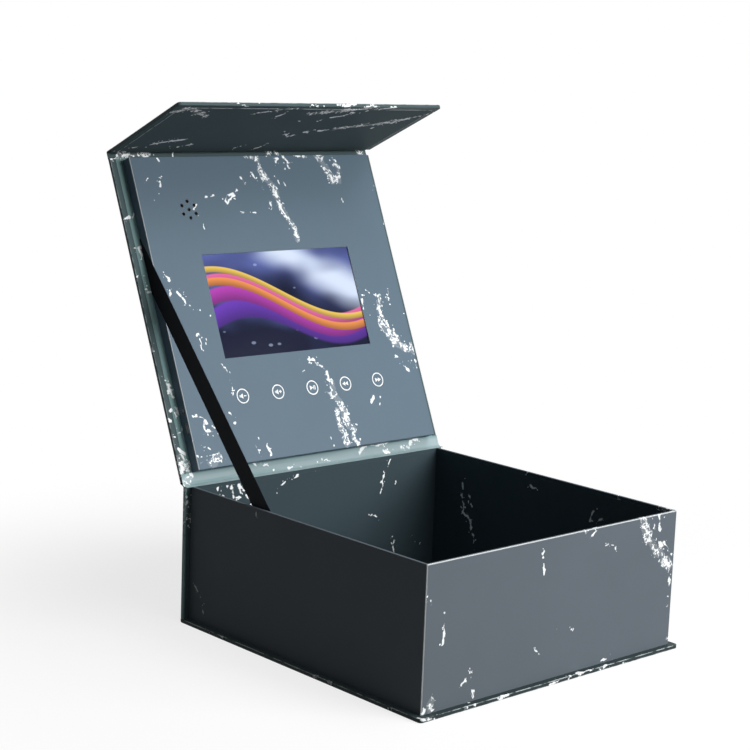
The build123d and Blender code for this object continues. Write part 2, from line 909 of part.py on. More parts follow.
def write_lid():
    board, wrap, sheet = lid_parts()
    write("lid_board", lid_place * board)
    write("lid_wrap", lid_place * wrap)
    write("lid_lining", lid_place * sheet)
    write("flap_hinge_strip", flap_hinge_strip())
    write("panel_wrap", lid_place * panel_wrap())
    write("panel_board", lid_place * panel_board())
    write("block_frame", lid_place * block_frame())
    write("display_bezel", lid_place * display_bezel())
    write("display_glass", lid_place * display_glass())
    write("display_backlight", lid_place * display_backlight())
    write("key_board", lid_place * key_board())
    write("key_switches", lid_place * key_switches())
    write("speaker_frame", lid_place * speaker_frame())
    write("speaker_cone", lid_place * speaker_cone())
    write("speaker_magnet", lid_place * speaker_magnet())
    write("main_board", lid_place * main_board())
    write("board_chips", lid_place * board_chips())
    write("usb_inlet", lid_place * usb_inlet())
    write("power_switch_body", lid_place * power_switch_body())
    write("power_knob", lid_place * power_knob())
    write("lid_sensor", lid_place * lid_sensor())
    write("battery", lid_place * battery())
    for number, x in enumerate(key_places, start=1):
        write(f"key_cap_{number}", lid_place * key_cap(x))
        write(f"key_plunger_{number}", lid_place * key_plunger(x))


def write_flap():
    board, wrap, sheet = flap_parts()
    write("flap_board", flap_place * board)
    write("flap_wrap", flap_place * wrap)
    write("flap_lining", flap_place * sheet)
    write("flap_magnets", flap_place * flap_magnets(magnet_diameter, magnet_thickness))


os.makedirs("parts", exist_ok=True)
write_base()
write_lid()
write_flap()
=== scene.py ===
import random
from math import cos, pi, radians, sin, tan

import bmesh
import bpy
from mathutils import Matrix, Vector


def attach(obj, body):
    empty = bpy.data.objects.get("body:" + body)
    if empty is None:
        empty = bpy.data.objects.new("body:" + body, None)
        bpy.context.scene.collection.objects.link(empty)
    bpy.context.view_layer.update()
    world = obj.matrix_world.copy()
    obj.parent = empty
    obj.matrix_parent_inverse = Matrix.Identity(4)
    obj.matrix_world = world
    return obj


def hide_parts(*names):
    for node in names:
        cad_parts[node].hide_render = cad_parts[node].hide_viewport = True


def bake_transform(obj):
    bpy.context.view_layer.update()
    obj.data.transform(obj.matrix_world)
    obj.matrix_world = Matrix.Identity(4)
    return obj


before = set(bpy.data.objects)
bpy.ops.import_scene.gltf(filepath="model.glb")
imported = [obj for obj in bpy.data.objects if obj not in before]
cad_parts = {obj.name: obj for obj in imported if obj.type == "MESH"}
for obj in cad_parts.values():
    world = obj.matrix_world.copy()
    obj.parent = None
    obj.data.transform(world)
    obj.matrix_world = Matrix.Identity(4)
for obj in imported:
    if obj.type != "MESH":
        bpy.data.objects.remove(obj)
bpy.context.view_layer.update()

scene = bpy.context.scene
bpy.ops.object.select_all(action="DESELECT")


# ---- Studio ----
# A pale matt floor that runs out to white, two very wide soft lamps, one in front of the box and
# to its right, one higher up, and a camera at the photograph's place, left of the front.
CAMERA_PLACE = (-0.9562, -0.9747, 0.4426)
CAMERA_TURN = (80.004, -2.148, -42.044)
CAMERA_LENS = 88.24
WHITE = (1.0, 1.0, 1.0, 1.0)
FLOOR_SIZE = 12.0
FLOOR_DROP = 0.0002              # metres that the floor lies below the box
FLOOR_COLOUR = (0.22, 0.22, 0.22, 1.0)
FLOOR_GLOW = 0.78                # white that the floor adds where it is seen
FLOOR_FADE = (0.26, 0.60)        # metres from the middle, from shaded paper to plain white
LAMPS = (
    # name, place, aimed at, width and height in metres, watts
    ("lamp_front", (1.01, -2.02, 0.94), (0.0, 0.05, 0.15), 1.6, 1.0, 64.0),
    ("lamp_above", (0.45, -0.7, 2.2), (0.0, 0.05, 0.1), 2.0, 1.6, 36.0),
)
AMBIENT = 0.03


def node_tree(name):
    """New material with an empty shader and its output, ready for its colour."""
    material = bpy.data.materials.new(name)
    material.use_nodes = True
    tree = material.node_tree
    shader = tree.nodes["Principled BSDF"]
    return material, tree, shader


def feed(tree, value, socket):
    """Set a plain value on a socket, or link another node's socket to it."""
    if isinstance(value, (int, float, tuple)):
        socket.default_value = value
    else:
        tree.links.new(value, socket)


def math(tree, operation, a, b=0.0):
    node = tree.nodes.new("ShaderNodeMath")
    node.operation = operation
    feed(tree, a, node.inputs[0])
    feed(tree, b, node.inputs[1])
    return node.outputs[0]


def vector_math(tree, operation, *values):
    """Vector node with its values in order. A length or a product comes out as one number."""
    node = tree.nodes.new("ShaderNodeVectorMath")
    node.operation = operation
    for number, value in zip((0, 3) if operation == "SCALE" else (0, 1, 2), values):
        feed(tree, value, node.inputs[number])
    return node.outputs["Value" if operation in ("DOT_PRODUCT", "LENGTH") else "Vector"]


def step(tree, value, low, high):
    """0 below low, 1 above high, and smooth between."""
    node = tree.nodes.new("ShaderNodeMapRange")
    node.interpolation_type = "SMOOTHSTEP"
    node.inputs["From Min"].default_value = low
    node.inputs["From Max"].default_value = high
    feed(tree, value, node.inputs["Value"])
    return node.outputs["Result"]


def object_place(tree):
    return tree.nodes.new("ShaderNodeTexCoord").outputs["Object"]


def camera_rays(tree):
    """1 where the background is seen straight, in a gloss or through glass, and 0 elsewhere."""
    path = tree.nodes.new("ShaderNodeLightPath").outputs
    straight = math(tree, "MAXIMUM", path["Is Camera Ray"], path["Is Glossy Ray"])
    return math(tree, "MAXIMUM", straight, path["Is Transmission Ray"])


def make_world():
    world = bpy.data.worlds.new("studio")
    world.use_nodes = True
    scene.world = world
    tree = world.node_tree
    background = tree.nodes["Background"]
    background.inputs["Color"].default_value = WHITE
    strength = tree.nodes.new("ShaderNodeMix")
    strength.data_type = "FLOAT"
    strength.inputs["A"].default_value = AMBIENT
    strength.inputs["B"].default_value = 1.0
    tree.links.new(camera_rays(tree), strength.inputs["Factor"])
    tree.links.new(strength.outputs["Result"], background.inputs["Strength"])


def make_floor():
    """Matt paper that takes the object's shadow, and runs out to plain white away from it."""
    bpy.ops.mesh.primitive_plane_add(size=FLOOR_SIZE, location=(0.0, 0.0, -FLOOR_DROP))
    floor = bpy.context.object
    floor.name = "floor"
    material, tree, shader = node_tree("floor_paper")
    shader.inputs["Base Color"].default_value = FLOOR_COLOUR
    shader.inputs["Roughness"].default_value = 0.9
    shader.inputs["Specular IOR Level"].default_value = 0.0
    shader.inputs["Emission Color"].default_value = WHITE
    glow = math(tree, "MULTIPLY", camera_rays(tree), FLOOR_GLOW)
    tree.links.new(glow, shader.inputs["Emission Strength"])
    white = tree.nodes.new("ShaderNodeEmission")
    white.inputs["Color"].default_value = WHITE
    away = vector_math(tree, "LENGTH", object_place(tree))
    seen = math(tree, "MULTIPLY", step(tree, away, *FLOOR_FADE), camera_rays(tree))
    blend = tree.nodes.new("ShaderNodeMixShader")
    tree.links.new(seen, blend.inputs["Fac"])
    tree.links.new(shader.outputs["BSDF"], blend.inputs[1])
    tree.links.new(white.outputs["Emission"], blend.inputs[2])
    tree.links.new(blend.outputs["Shader"], tree.nodes["Material Output"].inputs["Surface"])
    floor.data.materials.append(material)


def make_lamps():
    for name, place, aim, width, height, watts in LAMPS:
        light = bpy.data.lights.new(name, "AREA")
        light.shape = "RECTANGLE"
        light.size = width
        light.size_y = height
        light.energy = watts
        lamp = bpy.data.objects.new(name, light)
        lamp.location = place
        lamp.rotation_euler = (Vector(aim) - Vector(place)).to_track_quat("-Z", "Y").to_euler()
        scene.collection.objects.link(lamp)


def make_camera():
    camera = bpy.data.objects.new("camera", bpy.data.cameras.new("camera"))
    camera.location = CAMERA_PLACE
    camera.rotation_euler = [radians(turn) for turn in CAMERA_TURN]
    camera.data.sensor_width = 36.0
    camera.data.lens = CAMERA_LENS
    camera.data.clip_start = 0.05
    scene.collection.objects.link(camera)
    scene.camera = camera


make_world()
make_floor()
make_lamps()
make_camera()
scene.view_settings.view_transform = "Standard"


# ---- Marbled covering paper ----
# Black art paper, printed with white marble veins under a satin film, covers every board of the
# case and the tray. A vein is a chain of short straight lengths that fine noise makes ragged.
MM = 0.001
LEAN = radians(23.3)             # the open lid leans back this far from upright
FLAP_OPENING = radians(88.6)     # the flap's turn from lying in line with the lid
HINGE = Vector((0.0, 135.6, 108.8))
LID_UP = Vector((0.0, sin(LEAN), cos(LEAN)))
LID_OUT = Vector((0.0, -cos(LEAN), sin(LEAN)))
FLAP_START = 268.1               # lid hinge's axis to the flap hinge's, along the lid
RIGHT = Vector((1.0, 0.0, 0.0))
BACK = Vector((0.0, 1.0, 0.0))
UP = Vector((0.0, 0.0, 1.0))
TRAY_TONE = ((0.120, 0.143, 0.165), 0.06)       # colour, then gloss of the film
# Painted shade: a darker copy of the tray sheet's tone, for the shade inside the tray.
TRAY_LINING_SHADE_TONE = ((0.045, 0.068, 0.080), 0.08)
FACE_TONE = ((0.068, 0.113, 0.156), 0.34)
CASE_TONE = ((0.060, 0.092, 0.098), 0.10)
# Painted light: a far paler copy of the case sheet's tone, for the lid's lining and the gutter.
CASE_LINING_LIT_TONE = ((0.185, 0.300, 0.305), 0.12)
# Painted shade: a darker copy of the case sheet's tone.
BOTTOM_SHADE_TONE = ((0.028, 0.042, 0.045), 0.10)
FLAP_LINING_TONE = ((0.085, 0.118, 0.130), 0.01)
SHADE_SHARE = 0.87               # darkest of the paper's faint clouds
FILM_TINT = (0.92, 0.98, 1.0, 1.0)
PAPER_ROUGHNESS = 0.50
VEIN_COLOUR = (0.90, 0.93, 0.94, 1.0)
# Default colour of the paler bands along edges: partly wear of the film, partly painted highlight on
# rounded edges.
EDGE_WEAR_AND_HIGHLIGHT = (0.42, 0.46, 0.48, 1.0)
VEIN_WANDER = 0.012              # metres that the noise may carry a vein off its line
BROAD_VEIN = 6.5                 # a vein with this reach or more opens into strands
THIN_EDGE = (0.76, 0.90)         # nearness from bare paper to full print
CORE_EDGE = (0.86, 1.0)
STRAND_EDGE = (0.010, 0.042)
STRAND_PATCH = (1.08, 1.28)
CRUMB_REACH = (0.02, 0.2)
CLOUD_SCALE = 18.0               # noises, in waves to the metre
WANDER_SCALE = 62.0
PATCH_SCALE = 85.0
BREAK_UP_SCALE = 130.0
STRAND_SCALE = 140.0
UNEVEN_SCALE = 170.0
CRUMB_SCALE = 330.0
GRAIN_SCALE = 1400.0


def lid_place(x, along, out=0.0):
    """Place of a point of the lid, in millimetres: across, up from the hinge, out of the lining."""
    return HINGE + x * RIGHT + along * LID_UP + out * LID_OUT


def flap_axes():
    """Directions along the flap and out of its lining."""
    along = cos(FLAP_OPENING) * LID_UP + sin(FLAP_OPENING) * LID_OUT
    out = cos(FLAP_OPENING) * LID_OUT - sin(FLAP_OPENING) * LID_UP
    return along, out


def vein_length_group():
    """Nearness to one straight length of vein: 1 on it, 0 at its reach, and never less than
    the nearness that came before it."""
    group = bpy.data.node_groups.new("vein_length", "ShaderNodeTree")
    face = group.interface
    for name in ("Point", "From", "To"):
        face.new_socket(name, in_out="INPUT", socket_type="NodeSocketVector")
    for name in ("Reach", "Before"):
        face.new_socket(name, in_out="INPUT", socket_type="NodeSocketFloat")
    face.new_socket("Near", in_out="OUTPUT", socket_type="NodeSocketFloat")
    start = group.nodes.new("NodeGroupInput")
    end = group.nodes.new("NodeGroupOutput")

    reach_out = vector_math(group, "SUBTRACT", start.outputs["Point"], start.outputs["From"])
    run = vector_math(group, "SUBTRACT", start.outputs["To"], start.outputs["From"])
    along = vector_math(group, "DOT_PRODUCT", reach_out, run)
    share = math(group, "DIVIDE", along, vector_math(group, "DOT_PRODUCT", run, run))
    share = math(group, "MINIMUM", math(group, "MAXIMUM", share, 0.0), 1.0)
    aside = vector_math(group, "SUBTRACT", reach_out, vector_math(group, "SCALE", run, share))
    away = math(group, "DIVIDE", vector_math(group, "LENGTH", aside), start.outputs["Reach"])
    near = math(group, "SUBTRACT", 1.0, away)
    group.links.new(math(group, "MAXIMUM", near, start.outputs["Before"]), end.inputs["Near"])
    return group


vein_length = vein_length_group()


def noise(tree, place, scale, detail=2.0, roughness=0.5):
    node = tree.nodes.new("ShaderNodeTexNoise")
    node.inputs["Scale"].default_value = scale
    node.inputs["Detail"].default_value = detail
    node.inputs["Roughness"].default_value = roughness
    tree.links.new(place, node.inputs["Vector"])
    return node


def colour_mix(tree, share, first, second):
    node = tree.nodes.new("ShaderNodeMix")
    node.data_type = "RGBA"
    for socket, value in (("Factor", share), ("A", first), ("B", second)):
        feed(tree, value, node.inputs[socket])
    return node.outputs["Result"]


def rough_from(tree, shader, value, low, high):
    """Roughness from low to high as a value goes from 0 to 1."""
    spread = tree.nodes.new("ShaderNodeMapRange")
    spread.inputs["To Min"].default_value = low
    spread.inputs["To Max"].default_value = high
    tree.links.new(value, spread.inputs["Value"])
    tree.links.new(spread.outputs["Result"], shader.inputs["Roughness"])


def raised(tree, shader, height, strength, distance):
    """Fine relief, as deep as distance in metres."""
    bump = tree.nodes.new("ShaderNodeBump")
    bump.inputs["Strength"].default_value = strength
    bump.inputs["Distance"].default_value = distance
    tree.links.new(height, bump.inputs["Height"])
    tree.links.new(bump.outputs["Normal"], shader.inputs["Normal"])


def nearness(tree, place, lines):
    """Largest nearness to (reach, points) lines, in millimetres."""
    near = None
    for reach, points in lines:
        for first, second in zip(points, points[1:]):
            length = tree.nodes.new("ShaderNodeGroup")
            length.node_tree = vein_length
            length.inputs["From"].default_value = first * MM
            length.inputs["To"].default_value = second * MM
            length.inputs["Reach"].default_value = reach * MM
            tree.links.new(place, length.inputs["Point"])
            if near is not None:
                tree.links.new(near, length.inputs["Before"])
            near = length.outputs["Near"]
    return near


def crumbs(tree, spots, near, gain, low):
    """Loose crumbs of print beside a vein, thicker towards it."""
    crumb = step(tree, math(tree, "ADD", spots, math(tree, "MULTIPLY", near, gain)), low, 0.77)
    return math(tree, "MULTIPLY", crumb, step(tree, near, *CRUMB_REACH))


def vein_print(tree, place, strokes):
    """Share of white print at a place, from strokes of (reach, points) in millimetres."""
    wander = noise(tree, place, WANDER_SCALE, detail=3.0, roughness=0.55).outputs["Color"]
    centred = vector_math(tree, "SUBTRACT", wander, (0.5, 0.5, 0.5))
    moved = vector_math(tree, "MULTIPLY_ADD", centred, (VEIN_WANDER,) * 3, place)
    width = noise(tree, place, UNEVEN_SCALE).outputs["Fac"]
    uneven = math(tree, "MULTIPLY", math(tree, "SUBTRACT", width, 0.5), 1.1)
    spots = noise(tree, place, CRUMB_SCALE, detail=1.0).outputs["Fac"]
    shares = []
    thin = [stroke for stroke in strokes if stroke[0] < BROAD_VEIN]
    broad = [stroke for stroke in strokes if stroke[0] >= BROAD_VEIN]
    if thin:
        near = nearness(tree, moved, thin)
        shares.append(step(tree, math(tree, "ADD", near, uneven), *THIN_EDGE))
        shares.append(crumbs(tree, spots, near, 0.12, 0.73))
    if broad:
        near = nearness(tree, moved, broad)
        shares.append(step(tree, math(tree, "ADD", near, uneven), *CORE_EDGE))
        net = noise(tree, place, STRAND_SCALE, detail=4.0, roughness=0.6).outputs["Fac"]
        ridge = math(tree, "ABSOLUTE", math(tree, "SUBTRACT", net, 0.5))
        ridge = math(tree, "SUBTRACT", 1.0, step(tree, ridge, *STRAND_EDGE))
        patch = noise(tree, place, PATCH_SCALE).outputs["Fac"]
        inside = math(tree, "ADD", near, math(tree, "MULTIPLY", patch, 1.3))
        veil = math(tree, "ADD", math(tree, "MULTIPLY", ridge, 0.90), 0.10)
        shares.append(math(tree, "MULTIPLY", veil, step(tree, inside, *STRAND_PATCH)))
        shares.append(crumbs(tree, spots, near, 0.14, 0.72))
    share = shares[0]
    for other in shares[1:]:
        share = math(tree, "MAXIMUM", share, other)
    return share


def marble_paper(name, strokes, tone, attribute=None, edges=(), wear_and_light_colour=EDGE_WEAR_AND_HIGHLIGHT,
                 break_up=(0.2, 0.6), break_up_stretch=(1.0, 1.0, 1.0), turn_in_shade=()):
    """Covering paper with veins along strokes, and paler bands along given edges: partly wear of
    the film, partly painted highlight and painted light. What is turned in over a rim gets the
    lining's darker tone, as painted shade. A sheet that bends reads its places at rest."""
    material, tree, shader = node_tree(name)
    if attribute is None:
        place = object_place(tree)
    else:
        stored = tree.nodes.new("ShaderNodeAttribute")
        stored.attribute_name = attribute
        place = stored.outputs["Vector"]
    cloud = noise(tree, place, CLOUD_SCALE, detail=3.0).outputs["Fac"]
    colour, gloss = tone
    shade = tuple(SHADE_SHARE * part for part in colour)
    ground = colour_mix(tree, cloud, shade + (1.0,), colour + (1.0,))
    # Paler bands along the given edges, broken up by noise: partly wear, partly painted highlight
    # and painted light.
    if edges:
        drawn = vector_math(tree, "MULTIPLY", place, break_up_stretch)
        broken_up = noise(tree, drawn, BREAK_UP_SCALE, detail=3.0).outputs["Fac"]
        wear_and_light = math(tree, "MULTIPLY", nearness(tree, place, edges), step(tree, broken_up, *break_up))
        ground = colour_mix(tree, step(tree, wear_and_light, 0.2, 0.8), ground, wear_and_light_colour)
    # Painted shade: the strip turned in over the rim takes the lining's darker tone.
    if turn_in_shade:
        inside = step(tree, nearness(tree, place, turn_in_shade), 0.05, 0.12)
        ground = colour_mix(tree, inside, ground, TRAY_LINING_SHADE_TONE[0] + (1.0,))
    if strokes:
        share = vein_print(tree, place, strokes)
        ground = colour_mix(tree, share, ground, VEIN_COLOUR)
    tree.links.new(ground, shader.inputs["Base Color"])
    grain = noise(tree, place, GRAIN_SCALE).outputs["Fac"]
    rough_from(tree, shader, grain, PAPER_ROUGHNESS - 0.06, PAPER_ROUGHNESS + 0.06)
    shader.inputs["Specular IOR Level"].default_value = gloss
    shader.inputs["Specular Tint"].default_value = FILM_TINT
    raised(tree, shader, grain, 0.12, 0.0001)
    return material


def on_face(origin, right, up, strokes):
    """Strokes drawn on a flat face, as places of the object. Each is a reach, then points."""
    return [
        (reach, [origin + right * across + up * along for across, along in points])
        for reach, points in strokes
    ]


def scattered(seed, count, width, height):
    """Veins of a part of the sheet that is hardly seen, at seeded places on a face."""
    chance = random.Random(seed)
    strokes = []
    for _ in range(count):
        x, y = chance.uniform(0.0, width), chance.uniform(0.0, height)
        heading = chance.uniform(0.0, 2.0 * pi)
        points = [(x, y)]
        for _ in range(chance.randint(1, 4)):
            heading += chance.uniform(-0.6, 0.6)
            run = chance.uniform(9.0, 22.0)
            x, y = x + run * cos(heading), y + run * sin(heading)
            points.append((x, y))
        strokes.append((chance.choice((3.0, 4.5, 6.0, 9.0)), points))
    return strokes


def cover(node, material):
    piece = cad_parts[node]
    piece.data.materials.clear()
    piece.data.materials.append(material)
    return piece


# ---- Bottom of the case ----
# A square-edged grey board under the tray, wrapped in the marbled paper, with the front edge
# and the sides standing out beyond the tray. Its sheet is given a darker tone than the same sheet
# on the spine and lid, as painted shade down by the floor.
CASE_SIDE = 136.3
CASE_FRONT = -135.6
CASE_WIDTH = 2.0 * CASE_SIDE
BOTTOM_THICKNESS = 2.9
BOTTOM_FRONT_VEINS = (
    (6, ((-136, 2.6), (-129, 0.4), (-124, 1.5))),
    (4, ((-92, 1), (-84, 2.2))),
    (5, ((-63, 0.4), (-51, 2.6))),
    (4, ((-7, 1), (1, 1.6))),
    (5, ((11, 1.2), (30, 2.2), (55, 1))),
    (4, ((72, 1), (79, 1.6))),
)
BOTTOM_SIDE_VEINS = (
    (4, ((106, 0.8), (102, 2.6))),
    (3, ((94, 2.4), (83, 1.6))),
    (3, ((-17, 1.2), (-27, 2.2))),
    (3.5, ((-36, 2), (-51, 0.8))),
    (3.5, ((-102, 1), (-108, 2.2))),
)
BOARD_COLOUR = (0.30, 0.285, 0.26, 1.0)
BOARD_FLECK = (0.42, 0.405, 0.375, 1.0)


def grained(name, first, second, scale, stretch=(1.0, 1.0, 1.0), rough=(0.5, 0.7), gloss=0.3,
            metal=0.0, depth=0.00005):
    """Stock with a grain: two colours, roughness and a fine relief from one stretched noise."""
    material, tree, shader = node_tree(name)
    place = tree.nodes.new("ShaderNodeMapping")
    place.inputs["Scale"].default_value = stretch
    tree.links.new(object_place(tree), place.inputs["Vector"])
    grain = noise(tree, place.outputs["Vector"], scale, detail=4.0, roughness=0.6).outputs["Fac"]
    fleck = step(tree, grain, 0.40, 0.62)
    tree.links.new(colour_mix(tree, fleck, first, second), shader.inputs["Base Color"])
    rough_from(tree, shader, grain, *rough)
    shader.inputs["Specular IOR Level"].default_value = gloss
    shader.inputs["Metallic"].default_value = metal
    raised(tree, shader, grain, 0.5, depth)
    return material


grey_board = grained("grey_board_fibre", BOARD_COLOUR, BOARD_FLECK, 700.0, rough=(0.8, 0.95))
cover("bottom_board", grey_board)
cover("bottom_wrap", marble_paper("bottom_paper", tone=BOTTOM_SHADE_TONE, strokes=(
    on_face(Vector((0.0, CASE_FRONT, 0.0)), RIGHT, UP, BOTTOM_FRONT_VEINS)
    + on_face(Vector((-CASE_SIDE, 0.0, 0.0)), BACK, UP, BOTTOM_SIDE_VEINS)
    + on_face(
        Vector((-CASE_SIDE, CASE_FRONT, 0.0)), RIGHT, BACK,
        scattered(11, 14, CASE_WIDTH, -2.0 * CASE_FRONT),
    )
), edges=(
    # Paler lines along the board's front edges and left top edge: partly wear, partly painted
    # highlight.
    (0.9, (
        Vector((-CASE_SIDE, CASE_FRONT, BOTTOM_THICKNESS)),
        Vector((CASE_SIDE, CASE_FRONT, BOTTOM_THICKNESS)),
    )),
    (0.9, (Vector((-CASE_SIDE, CASE_FRONT, 0.0)), Vector((CASE_SIDE, CASE_FRONT, 0.0)))),
    (0.8, (
        Vector((-CASE_SIDE, CASE_FRONT, BOTTOM_THICKNESS)),
        Vector((-CASE_SIDE, -CASE_FRONT, BOTTOM_THICKNESS)),
    )),
)))

# ---- Spine ----
# The narrow board behind the tray, glued to its back wall. The sheet that covers the bottom and
# the lid goes over it too; its left end is painted paler in broken patches, as painted light on
# that shaded face.
# Painted light on the spine's shaded left end.
SPINE_END_LIGHT = (0.32, 0.48, 0.48, 1.0)
SPINE_EDGE_Y = 134.0             # middle of the spine's thickness
SPINE_EDGE_ENDS = (4.0, 108.0)
SPINE_SIDE_VEINS = (
    (5, ((135, 105), (133, 102), (135, 99))),
    (8, ((134, 96), (133.5, 84))),
)
cover("spine_board", grey_board)
cover("spine_wrap", marble_paper("spine_paper", tone=CASE_TONE, strokes=(
    on_face(Vector((-CASE_SIDE, -CASE_FRONT, 0.0)), RIGHT, UP, scattered(12, 9, CASE_WIDTH, 108.0))
    + on_face(Vector((-CASE_SIDE, 0.0, 0.0)), BACK, UP, SPINE_SIDE_VEINS)
), edges=(
    # Painted light over the whole left end of the spine.
    (3.0, [Vector((-CASE_SIDE, SPINE_EDGE_Y, height)) for height in SPINE_EDGE_ENDS]),
), wear_and_light_colour=SPINE_END_LIGHT, break_up=(0.0, 0.4)))

# ---- Tray ----
# Four board walls and a floor, taped at the corners, with one sheet wrapped round the outside
# and over the rim, and a lining inside. Both sheets are the same marbled paper; the lining and the
# strip turned in under the rim are given a darker tone, as painted shade inside the tray.
TRAY_FRONT = -130.3
TRAY_SIDE = 131.0
TRAY_FOOT = 3.0
TRAY_RIM = 108.3
TRAY_INNER_BACK = 129.9
TRAY_INNER_SIDE = 128.2
TURN_FRONT = -127.5              # inner face of the front wall
TURN_HEIGHT = 106.2              # middle of the strip that is turned in under the rim
FRONT_VEINS = (
    (8, ((90, 109), (95, 97), (106, 85), (116, 75), (125, 66))),
    (6, ((125, 66), (126, 50))),
    (6, ((111, 108), (112, 90), (116, 78))),
    (5, ((112, 90), (128, 73))),
    (5, ((100, 109), (104, 98))),
    (3, ((126, 62), (127, 35))),
    (6, ((-16, 102), (-19, 98))),
    (3, ((-17, 90), (-14, 71))),
    (6, ((26, 108), (32, 102), (40, 108))),
    (5, ((50, 93), (60, 92), (62, 88))),
    (3, ((-130, 85), (-130, 83))),
    (3, ((-125, 83), (-125, 81))),
    (5, ((-115, 71), (-112, 56), (-113, 50))),
    (3, ((-84, 28), (-82, 4))),
    (4, ((-94, 16), (-89, 20), (-85, 13), (-84, 8))),
    (7, ((-121, 10), (-122, 2))),
    (4, ((-127, 8), (-129, 4))),
    (4, ((-20, 30), (-14, 23))),
    (2.5, ((2, 41), (12, 34), (20, 35))),
    (3, ((60, 11), (60, 0))),
    (3, ((52, 5), (66, 4))),
)
LEFT_VEINS = (
    (3, ((127, 32), (117, 21), (112, 13))),
    (3, ((53, 105), (52, 101))),
)
BACK_INSIDE_VEINS = (
    (4, ((-108, 109), (-106, 101))),
    (5, ((-105, 109), (-102, 103), (-99, 97))),
    (4, ((-98, 108), (-98, 104), (-97, 97))),
    (5, ((-92, 106), (-93, 102), (-92, 95))),
    (4, ((-87, 102), (-85, 96))),
    (4, ((-86, 100), (-81, 98))),
    (5, ((-90, 94), (-85, 92))),
    (4, ((-79, 94), (-74, 87))),
    (2.5, ((-61, 92), (-57, 87))),
    (5, ((-37, 108), (-38, 103))),
    (5, ((-29, 109), (-35, 104))),
    (4, ((-26, 106), (-31, 102))),
    (5, ((-40, 100), (-48, 96))),
    (3, ((-8, 106), (-8, 104))),
    (4, ((76, 109), (73, 98))),
    (4, ((68, 93), (66, 79), (65, 74))),
    (2.5, ((81, 86), (82, 84))),
    (3, ((54, 61), (62, 56), (68, 50))),
    (4, ((76, 41), (82, 35), (83, 24))),
    (4, ((102, 35), (114, 28))),
)
RIGHT_INSIDE_VEINS = (
    (5, ((98, 86), (94, 69), (96, 57), (84, 52), (81, 43), (80, 37))),
    (4, ((88, 76), (85, 68))),
    (4, ((19, 98), (12, 95))),
    (4, ((-52, 90), (-49, 81), (-60, 85))),
    (3, ((80, 30), (80, 27))),
)
# Pale edge colour: partly wear of the film, partly painted highlight on the rounded corners.
TRAY_EDGE_WEAR_AND_HIGHLIGHT = (0.62, 0.65, 0.66, 1.0)
TAPE_COLOUR = (0.40, 0.28, 0.16, 1.0)
TAPE_FIBRE = (0.52, 0.39, 0.24, 1.0)
for board in ("front_wall", "back_wall", "left_wall", "right_wall", "floor"):
    cover(f"tray_{board}", grey_board)
cover("corner_tapes", grained(
    "gummed_kraft_tape", TAPE_COLOUR, TAPE_FIBRE, 260.0, stretch=(1.0, 1.0, 6.0), rough=(0.5, 0.7)
))
cover("tray_wrap", marble_paper("tray_paper", tone=TRAY_TONE, strokes=(
    on_face(Vector((0.0, TRAY_FRONT, 0.0)), RIGHT, UP, FRONT_VEINS)
    + on_face(Vector((-TRAY_SIDE, 0.0, 0.0)), BACK, UP, LEFT_VEINS)
    + on_face(Vector((TRAY_SIDE, TRAY_FRONT, 0.0)), BACK, UP, scattered(21, 8, 263.0, 105.0))
), edges=(
    # Pale lines down the front corners and along the front rim: partly wear, partly painted
    # highlight.
    (1.3, [Vector((-TRAY_SIDE, TRAY_FRONT, height)) for height in (TRAY_FOOT, TRAY_RIM)]),
    (1.2, [Vector((side, TRAY_FRONT, TRAY_RIM)) for side in (-TRAY_SIDE, TRAY_SIDE)]),
    (1.0, [Vector((TRAY_SIDE, TRAY_FRONT, height)) for height in (TRAY_FOOT, TRAY_RIM)]),
), wear_and_light_colour=TRAY_EDGE_WEAR_AND_HIGHLIGHT, break_up=(0.0, 0.35), turn_in_shade=(
    # Painted shade along the strip turned in under the rim.
    (2.7, [
        Vector((-TRAY_INNER_SIDE, TURN_FRONT, TURN_HEIGHT)),
        Vector((-TRAY_INNER_SIDE, TRAY_INNER_BACK, TURN_HEIGHT)),
        Vector((TRAY_INNER_SIDE, TRAY_INNER_BACK, TURN_HEIGHT)),
        Vector((TRAY_INNER_SIDE, TURN_FRONT, TURN_HEIGHT)),
        Vector((-TRAY_INNER_SIDE, TURN_FRONT, TURN_HEIGHT)),
    ]),
)))
# Painted shade: the lining is the same paper as the outside, given a darker tone.
cover("tray_lining", marble_paper("tray_lining_paper", tone=TRAY_LINING_SHADE_TONE, strokes=(
    on_face(Vector((0.0, TRAY_INNER_BACK, 0.0)), RIGHT, UP, BACK_INSIDE_VEINS)
    + on_face(Vector((TRAY_INNER_SIDE, 0.0, 0.0)), BACK, UP, RIGHT_INSIDE_VEINS)
    + on_face(Vector((-TRAY_SIDE, TRAY_FRONT, 4.0)), RIGHT, BACK, scattered(22, 9, 262.0, 263.0))
)))

# ---- Magnets and keepers in the boards ----
# Two nickel-plated magnets let into the flap's board hold it to steel discs in the front wall. A
# small magnet in the left wall tells the player that the lid is shut.
NICKEL = (0.60, 0.60, 0.59, 1.0)
NICKEL_DULL = (0.48, 0.48, 0.48, 1.0)
nickel_plate = grained(
    "nickel_plate", NICKEL, NICKEL_DULL, 900.0, rough=(0.22, 0.36), gloss=0.5, metal=1.0
)
for metal_disc in ("front_keepers", "sensor_magnet", "flap_magnets"):
    cover(metal_disc, nickel_plate)

